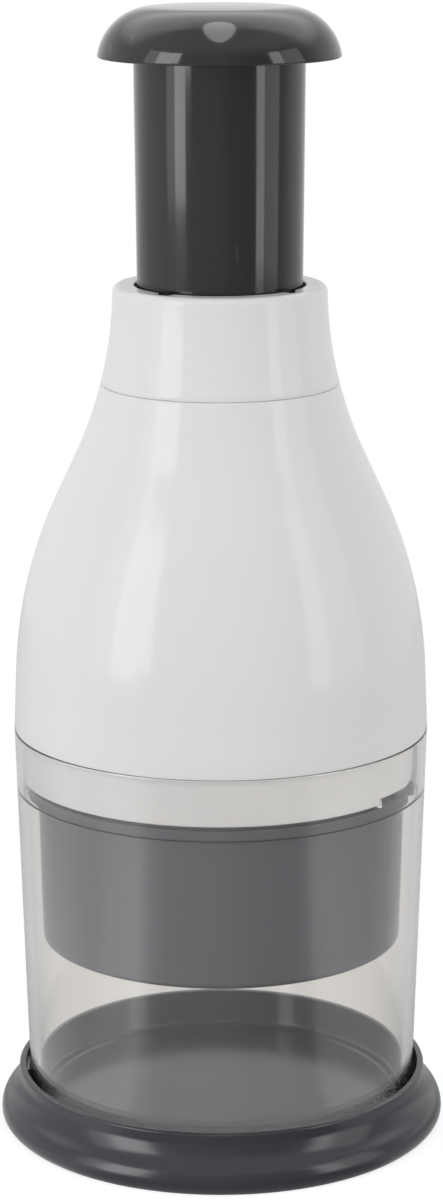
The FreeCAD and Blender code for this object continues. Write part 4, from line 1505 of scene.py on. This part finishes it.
@dataclass(frozen=True)
class SoftBox:
    """A soft light at a direction from the object, aimed at the axis."""

    name: str
    azimuth: float
    width: float
    height: float
    middle: float
    brightness: float
    colour: Colour = (1.0, 1.0, 1.0)
    distance: float = 1.5
    shape: LampShape = LampShape.PANEL
    aim_height: float | None = None
    seen_through: bool = True

    def build(self) -> None:
        """Makes the light."""
        light = bpy.data.lights.new(self.name, "AREA")
        light.shape = self.shape.value
        light.size = self.width
        light.size_y = self.height
        light.color = self.colour
        light.energy = self.brightness * math.pi * self.width * self.height
        lamp = bpy.data.objects.new(self.name, light)
        bpy.context.scene.collection.objects.link(lamp)
        turn = math.radians(self.azimuth)
        lamp.location = (self.distance * math.sin(turn), -self.distance * math.cos(turn), self.middle)
        aim = Vector((0, 0, self.middle if self.aim_height is None else self.aim_height))
        lamp.rotation_euler = (aim - lamp.location).to_track_quat("-Z", "Y").to_euler()
        lamp.visible_transmission = self.seen_through


@dataclass(frozen=True)
class GlossLevels:
    """How bright the studio looks in a gloss.

    The sides and the glare go by azimuth, in degrees from the front. The back and what is above go by the upward
    share of the direction, and each blends in over a span of the backward or the upward share.
    """

    sides: tuple[Point, ...] = ((-90.0, 0.95), (-62.0, 1.0), (-38.0, 0.7), (0.0, 0.62), (12.0, 0.5), (40.0, 0.4),
                                (90.0, 0.5))
    glare: tuple[Point, ...] = ((-90.0, 0.0), (-72.0, 0.02), (-60.0, 0.35), (-44.0, 0.75), (-38.0, 0.3), (-30.0, 0.0),
                                (44.0, 0.0), (50.0, 0.5), (60.0, 0.5), (75.0, 0.3), (90.0, 0.1))
    back: tuple[Point, ...] = ((-0.3, 0.62), (-0.12, 0.85), (0.1, 1.0), (0.3, 0.9), (0.42, 0.95), (0.6, 2.0),
                               (0.92, 2.0), (1.0, 1.3))
    above: tuple[Point, ...] = ((0.4, 1.0), (0.8, 0.95), (0.9, 0.88), (0.975, 0.86), (0.99, 1.0), (1.0, 1.15))
    back_span: Point = (-0.05, 0.45)
    above_span: Point = (0.4, 0.8)
    tint: Colour = (1.0, 0.99, 1.0)


class StageNodes:
    """Lays out the nodes that the world and the floor share."""

    def __init__(self, tree: bpy.types.NodeTree) -> None:
        """Empties the tree and adds the node that tells rays apart.

        Args:
            tree: The world's or the floor's node tree.
        """
        self.tree = tree
        self.tree.nodes.clear()
        self.path = tree.nodes.new("ShaderNodeLightPath")

    def put(self, kind: str, sources: dict[int | str, object], **settings: object) -> bpy.types.Node:
        """Adds one node.

        Args:
            kind: The node's type.
            sources: What goes into each input, as another node's output or as a plain value.
            settings: Other settings of the node.

        Returns:
            The new node.
        """
        node = self.tree.nodes.new(kind)
        for name, value in settings.items():
            setattr(node, name, value)
        for place, source in sources.items():
            if isinstance(source, bpy.types.NodeSocket):
                self.tree.links.new(source, node.inputs[place])
            else:
                node.inputs[place].default_value = source
        return node

    def maths(self, operation: str, first: object, second: object) -> bpy.types.NodeSocket:
        """The result of one sum on two numbers or outputs."""
        return self.put("ShaderNodeMath", {0: first, 1: second}, operation=operation).outputs[0]

    def step(self, value: bpy.types.NodeSocket, start: float, end: float) -> bpy.types.NodeSocket:
        """A smooth rise from 0 to 1 while a value goes from start to end."""
        sources = {"Value": value, "From Min": start, "From Max": end}
        return self.put("ShaderNodeMapRange", sources, interpolation_type="SMOOTHSTEP").outputs[0]

    def blend(self, share: object, first: object, second: object) -> bpy.types.NodeSocket:
        """A colour between two others.

        Args:
            share: Share of the second colour, as a number or an output.
            first: The first colour, as an output or as plain numbers.
            second: The second colour.

        Returns:
            The blended colour.
        """
        node = self.put("ShaderNodeMix", {"Factor": share}, data_type="RGBA")
        for place, source in (("A", first), ("B", second)):
            socket = next(item for item in node.inputs if item.name == place and item.type == "RGBA")
            if isinstance(source, bpy.types.NodeSocket):
                self.tree.links.new(source, socket)
            else:
                socket.default_value = (*source, 1.0)
        return next(item for item in node.outputs if item.type == "RGBA")

    def through(self, lights_inside: bool = False) -> bpy.types.NodeSocket:
        """Whether a ray came through the clear sleeve, and not from a gloss.

        Args:
            lights_inside: Whether it is a ray that lights the pieces inside, or one that sees past them.

        Returns:
            1 for such a ray, or else 0.
        """
        rays = self.path.outputs
        unreflected = self.maths("LESS_THAN", rays["Glossy Depth"], 0.5)
        kind = self.maths("GREATER_THAN" if lights_inside else "LESS_THAN", rays["Diffuse Depth"], 0.5)
        return self.maths("MULTIPLY", rays["Is Transmission Ray"], self.maths("MULTIPLY", unreflected, kind))

    def heading(self, direction: bpy.types.NodeSocket) -> bpy.types.Node:
        """The level part of a direction, split into its shares to the right and to the back.

        Args:
            direction: A direction or a place, as seen from the object's axis.

        Returns:
            The node whose first two outputs are the shares.
        """
        split = self.put("ShaderNodeSeparateXYZ", {0: direction})
        level = self.put("ShaderNodeCombineXYZ", {0: split.outputs[0], 1: split.outputs[1]})
        unit = self.put("ShaderNodeVectorMath", {0: level.outputs[0]}, operation="NORMALIZE")
        return self.put("ShaderNodeSeparateXYZ", {0: unit.outputs[0]})

    def ramp(self, value: bpy.types.NodeSocket, levels: tuple[Point, ...], tint: Colour) -> bpy.types.NodeSocket:
        """A colour whose strength depends on a value between -1 and 1.

        Args:
            value: The value.
            levels: Values and their strengths, in rising order.
            tint: The colour at a strength of 1.

        Returns:
            The colour.
        """
        place = self.put("ShaderNodeMapRange", {"Value": value, "From Min": -1.0, "From Max": 1.0}).outputs[0]
        ramp = self.put("ShaderNodeValToRGB", {0: place})
        elements = ramp.color_ramp.elements
        while len(elements) < len(levels):
            elements.new(0.5)
        peak = max(strength for _, strength in levels)
        for element, (position, strength) in zip(elements, levels):
            element.position = 0.5 + 0.5 * position
            element.color = (*(share * strength / peak for share in tint), 1.0)
        scaled = self.put("ShaderNodeVectorMath", {0: ramp.outputs[0]}, operation="SCALE")
        scaled.inputs["Scale"].default_value = peak
        return scaled.outputs[0]

    def by_side(self, direction: bpy.types.NodeSocket, levels: tuple[Point, ...],
                tint: Colour) -> bpy.types.NodeSocket:
        """A colour whose strength depends on the azimuth, given in degrees from the front."""
        shares = tuple((math.sin(math.radians(degrees)), strength) for degrees, strength in levels)
        return self.ramp(self.heading(direction).outputs[0], shares, tint)

    def gloss(self, direction: bpy.types.NodeSocket, height: object,
              levels: GlossLevels) -> bpy.types.NodeSocket:
        """What gloss shows of the studio in a direction.

        Args:
            direction: A direction or a place, as seen from the object's axis.
            height: The upward share of the direction.
            levels: The brightness of each side.

        Returns:
            The colour.
        """
        front = self.by_side(direction, levels.sides, levels.tint)
        level = self.maths("ADD", height, 0.0)
        above = self.ramp(level, levels.above, levels.tint)
        front = self.blend(self.step(level, *levels.above_span), front, above)
        back = self.ramp(level, levels.back, levels.tint)
        return self.blend(self.step(self.heading(direction).outputs[1], *levels.back_span), front, back)


@dataclass
class Studio:
    """The floor, the sky, the soft lights and the camera."""

    camera_distance: float = 0.6808
    camera_side: float = 0.00019
    camera_height: float = 0.280
    camera_pitch: float = 13.6
    camera_roll: float = -0.11
    lens: float = 98.75
    sensor: float = 36.0
    ambient: tuple[Point, ...] = ((-0.9, 0.655), (0.0, 0.50), (0.9, 0.66))
    ambient_left: Colour = (1.0, 1.0, 1.01)
    ambient_right: Colour = (1.0, 0.985, 0.97)
    side_span: Point = (-0.9, 0.9)
    backdrop: Colour = (0.70, 0.684, 0.662)
    inside_left: Colour = (1.9, 1.87, 1.86)
    inside_right: Colour = (2.5, 2.46, 2.42)
    gloss_levels: GlossLevels = field(default_factory=GlossLevels)
    floor_size: float = 0.6
    floor_colour: Colour = (0.86, 0.86, 0.86)
    floor_lift: float = 0.5
    fade_span: Point = (0.040, 0.055)
    glare_span: Point = (0.24, 0.36)
    glare_back_span: Point = (-0.1, 0.25)
    shade_span: Point = (0.05, 0.13)
    shade_levels: Point = (0.78, 1.0)
    boxes: tuple[SoftBox, ...] = (
        SoftBox("left_inner", -42.6, 0.22, 1.05, 0.605, 4.2),
        SoftBox("left_softbox", -54.4, 0.41, 1.10, 0.55, 4.2, seen_through=False),
        SoftBox("left_edge", -68.5, 0.33, 1.10, 0.55, 1.2, seen_through=False),
        SoftBox("right_strip", 56.5, 0.33, 1.15, 0.525, 3.0, (1.0, 0.98, 0.96)),
        SoftBox("right_softbox", 75.0, 0.60, 1.15, 0.525, 1.1, (1.0, 0.98, 0.96), seen_through=False),
        SoftBox("top_softbox", 0.0, 0.075, 0.22, 0.45, 2.8, distance=0.045, shape=LampShape.OVAL,
                aim_height=0.2),
    )

    def build_camera(self) -> None:
        """Puts the camera where the photograph was taken from."""
        data = bpy.data.cameras.new("photo_camera")
        data.sensor_fit = "VERTICAL"
        data.sensor_height = self.sensor
        data.lens = self.lens
        camera = bpy.data.objects.new("photo_camera", data)
        bpy.context.scene.collection.objects.link(camera)
        camera.location = (self.camera_side, -self.camera_distance, self.camera_height)
        level = Euler((math.radians(90 - self.camera_pitch), 0.0, 0.0)).to_quaternion()
        camera.rotation_euler = (level @ Quaternion((0, 0, 1), math.radians(self.camera_roll))).to_euler()
        bpy.context.scene.camera = camera

    def build_world(self) -> None:
        """Makes the sky: white to the camera, a plain light on the object, and the studio's sides in gloss."""
        world = bpy.data.worlds.new("studio")
        bpy.context.scene.world = world
        world.use_nodes = True
        stage = StageNodes(world.node_tree)
        rays = stage.path.outputs
        place = stage.put("ShaderNodeTexCoord", {}).outputs["Generated"]
        split = stage.put("ShaderNodeSeparateXYZ", {0: place})
        side = stage.step(split.outputs[0], *self.side_span)
        warmth = stage.blend(side, self.ambient_left, self.ambient_right)
        plain = stage.ramp(split.outputs[0], self.ambient, (1.0, 1.0, 1.0))
        ambient = stage.put("ShaderNodeVectorMath", {0: plain, 1: warmth}, operation="MULTIPLY").outputs[0]
        gloss = stage.gloss(place, split.outputs[2], self.gloss_levels)
        shown = stage.blend(rays["Is Glossy Ray"], ambient, gloss)
        shown = stage.blend(stage.through(), shown, self.backdrop)
        inside = stage.blend(side, self.inside_left, self.inside_right)
        shown = stage.blend(stage.through(lights_inside=True), shown, inside)
        shown = stage.blend(rays["Is Camera Ray"], shown, (1.0, 1.0, 1.0))
        background = stage.put("ShaderNodeBackground", {"Color": shown})
        stage.put("ShaderNodeOutputWorld", {"Surface": background.outputs[0]})

    def floor_gloss(self, stage: StageNodes, place: bpy.types.NodeSocket,
                    reach: bpy.types.NodeSocket) -> bpy.types.NodeSocket:
        """What gloss shows of the floor: the studio low down, with a glare in front and a shade near the foot.

        Args:
            stage: The floor's nodes.
            place: The place on the floor.
            reach: Its distance from the object's axis.

        Returns:
            The colour.
        """
        levels = self.gloss_levels
        near = stage.maths("SUBTRACT", 1.0, stage.step(reach, *self.glare_span))
        ahead = stage.maths("SUBTRACT", 1.0, stage.step(stage.heading(place).outputs[1], *self.glare_back_span))
        glare = stage.put("ShaderNodeVectorMath", {0: stage.by_side(place, levels.glare, levels.tint)},
                          operation="SCALE")
        stage.tree.links.new(stage.maths("MULTIPLY", near, ahead), glare.inputs["Scale"])
        total = stage.put("ShaderNodeVectorMath", {0: stage.gloss(place, -1.0, levels), 1: glare.outputs[0]},
                          operation="ADD").outputs[0]
        # Painted shade: what gloss shows of the floor is darkened close to the foot.
        painted_foot_shade = stage.put("ShaderNodeMapRange", {
            "Value": reach, "From Min": self.shade_span[0], "From Max": self.shade_span[1],
            "To Min": self.shade_levels[0], "To Max": self.shade_levels[1],
        }).outputs[0]
        shade = stage.put("ShaderNodeVectorMath", {0: total}, operation="SCALE")
        stage.tree.links.new(painted_foot_shade, shade.inputs["Scale"])
        return shade.outputs[0]

    def build_floor(self) -> None:
        """Makes a pale floor that keeps the object's shadow and fades to the backdrop away from it."""
        half = self.floor_size
        floor = new_object("studio_floor", [(-half, -half, 0), (half, -half, 0), (half, half, 0), (-half, half, 0)],
                           [(0, 1, 2, 3)])
        material = bpy.data.materials.new("studio_floor")
        material.use_nodes = True
        stage = StageNodes(material.node_tree)
        rays = stage.path.outputs
        place = stage.put("ShaderNodeTexCoord", {}).outputs["Object"]
        reach = stage.put("ShaderNodeVectorMath", {0: place}, operation="LENGTH").outputs["Value"]
        seen = stage.maths("MAXIMUM", rays["Is Camera Ray"], rays["Is Glossy Ray"])
        paint = stage.put("ShaderNodeBsdfDiffuse", {"Color": (*self.floor_colour, 1.0)}).outputs[0]
        raised = stage.maths("MULTIPLY", seen, self.floor_lift)
        lift = stage.put("ShaderNodeEmission", {"Strength": raised}).outputs[0]
        lit = stage.put("ShaderNodeAddShader", {0: paint, 1: lift}).outputs[0]
        shown = stage.blend(rays["Is Glossy Ray"], (1.0, 1.0, 1.0), self.floor_gloss(stage, place, reach))
        shown = stage.blend(stage.through(), shown, self.backdrop)
        plain = stage.put("ShaderNodeEmission", {"Color": shown}).outputs[0]
        fade = stage.maths("MULTIPLY", stage.step(reach, *self.fade_span), seen)
        share = stage.maths("MAXIMUM", fade, stage.through())
        mix = stage.put("ShaderNodeMixShader", {0: share, 1: lit, 2: plain}).outputs[0]
        stage.put("ShaderNodeOutputMaterial", {"Surface": mix})
        floor.data.materials.append(material)

    def build(self) -> None:
        """Makes the whole studio."""
        self.build_camera()
        self.build_world()
        self.build_floor()
        for box in self.boxes:
            box.build()
        bpy.context.scene.view_settings.view_transform = "Standard"


def main() -> None:
    """Builds the studio and every sub-assembly, whose pieces log their heights."""
    logging.basicConfig(level=logging.INFO, format="%(name)s: %(message)s")
    Studio().build()
    finishes = Finishes()
    for group in (BaseDish, ClearSleeve, BottleHousing, GuardCup, Plunger, ReturnSpring, CarriedNodes):
        group(finishes).build()


if __name__ == "__main__":
    main()
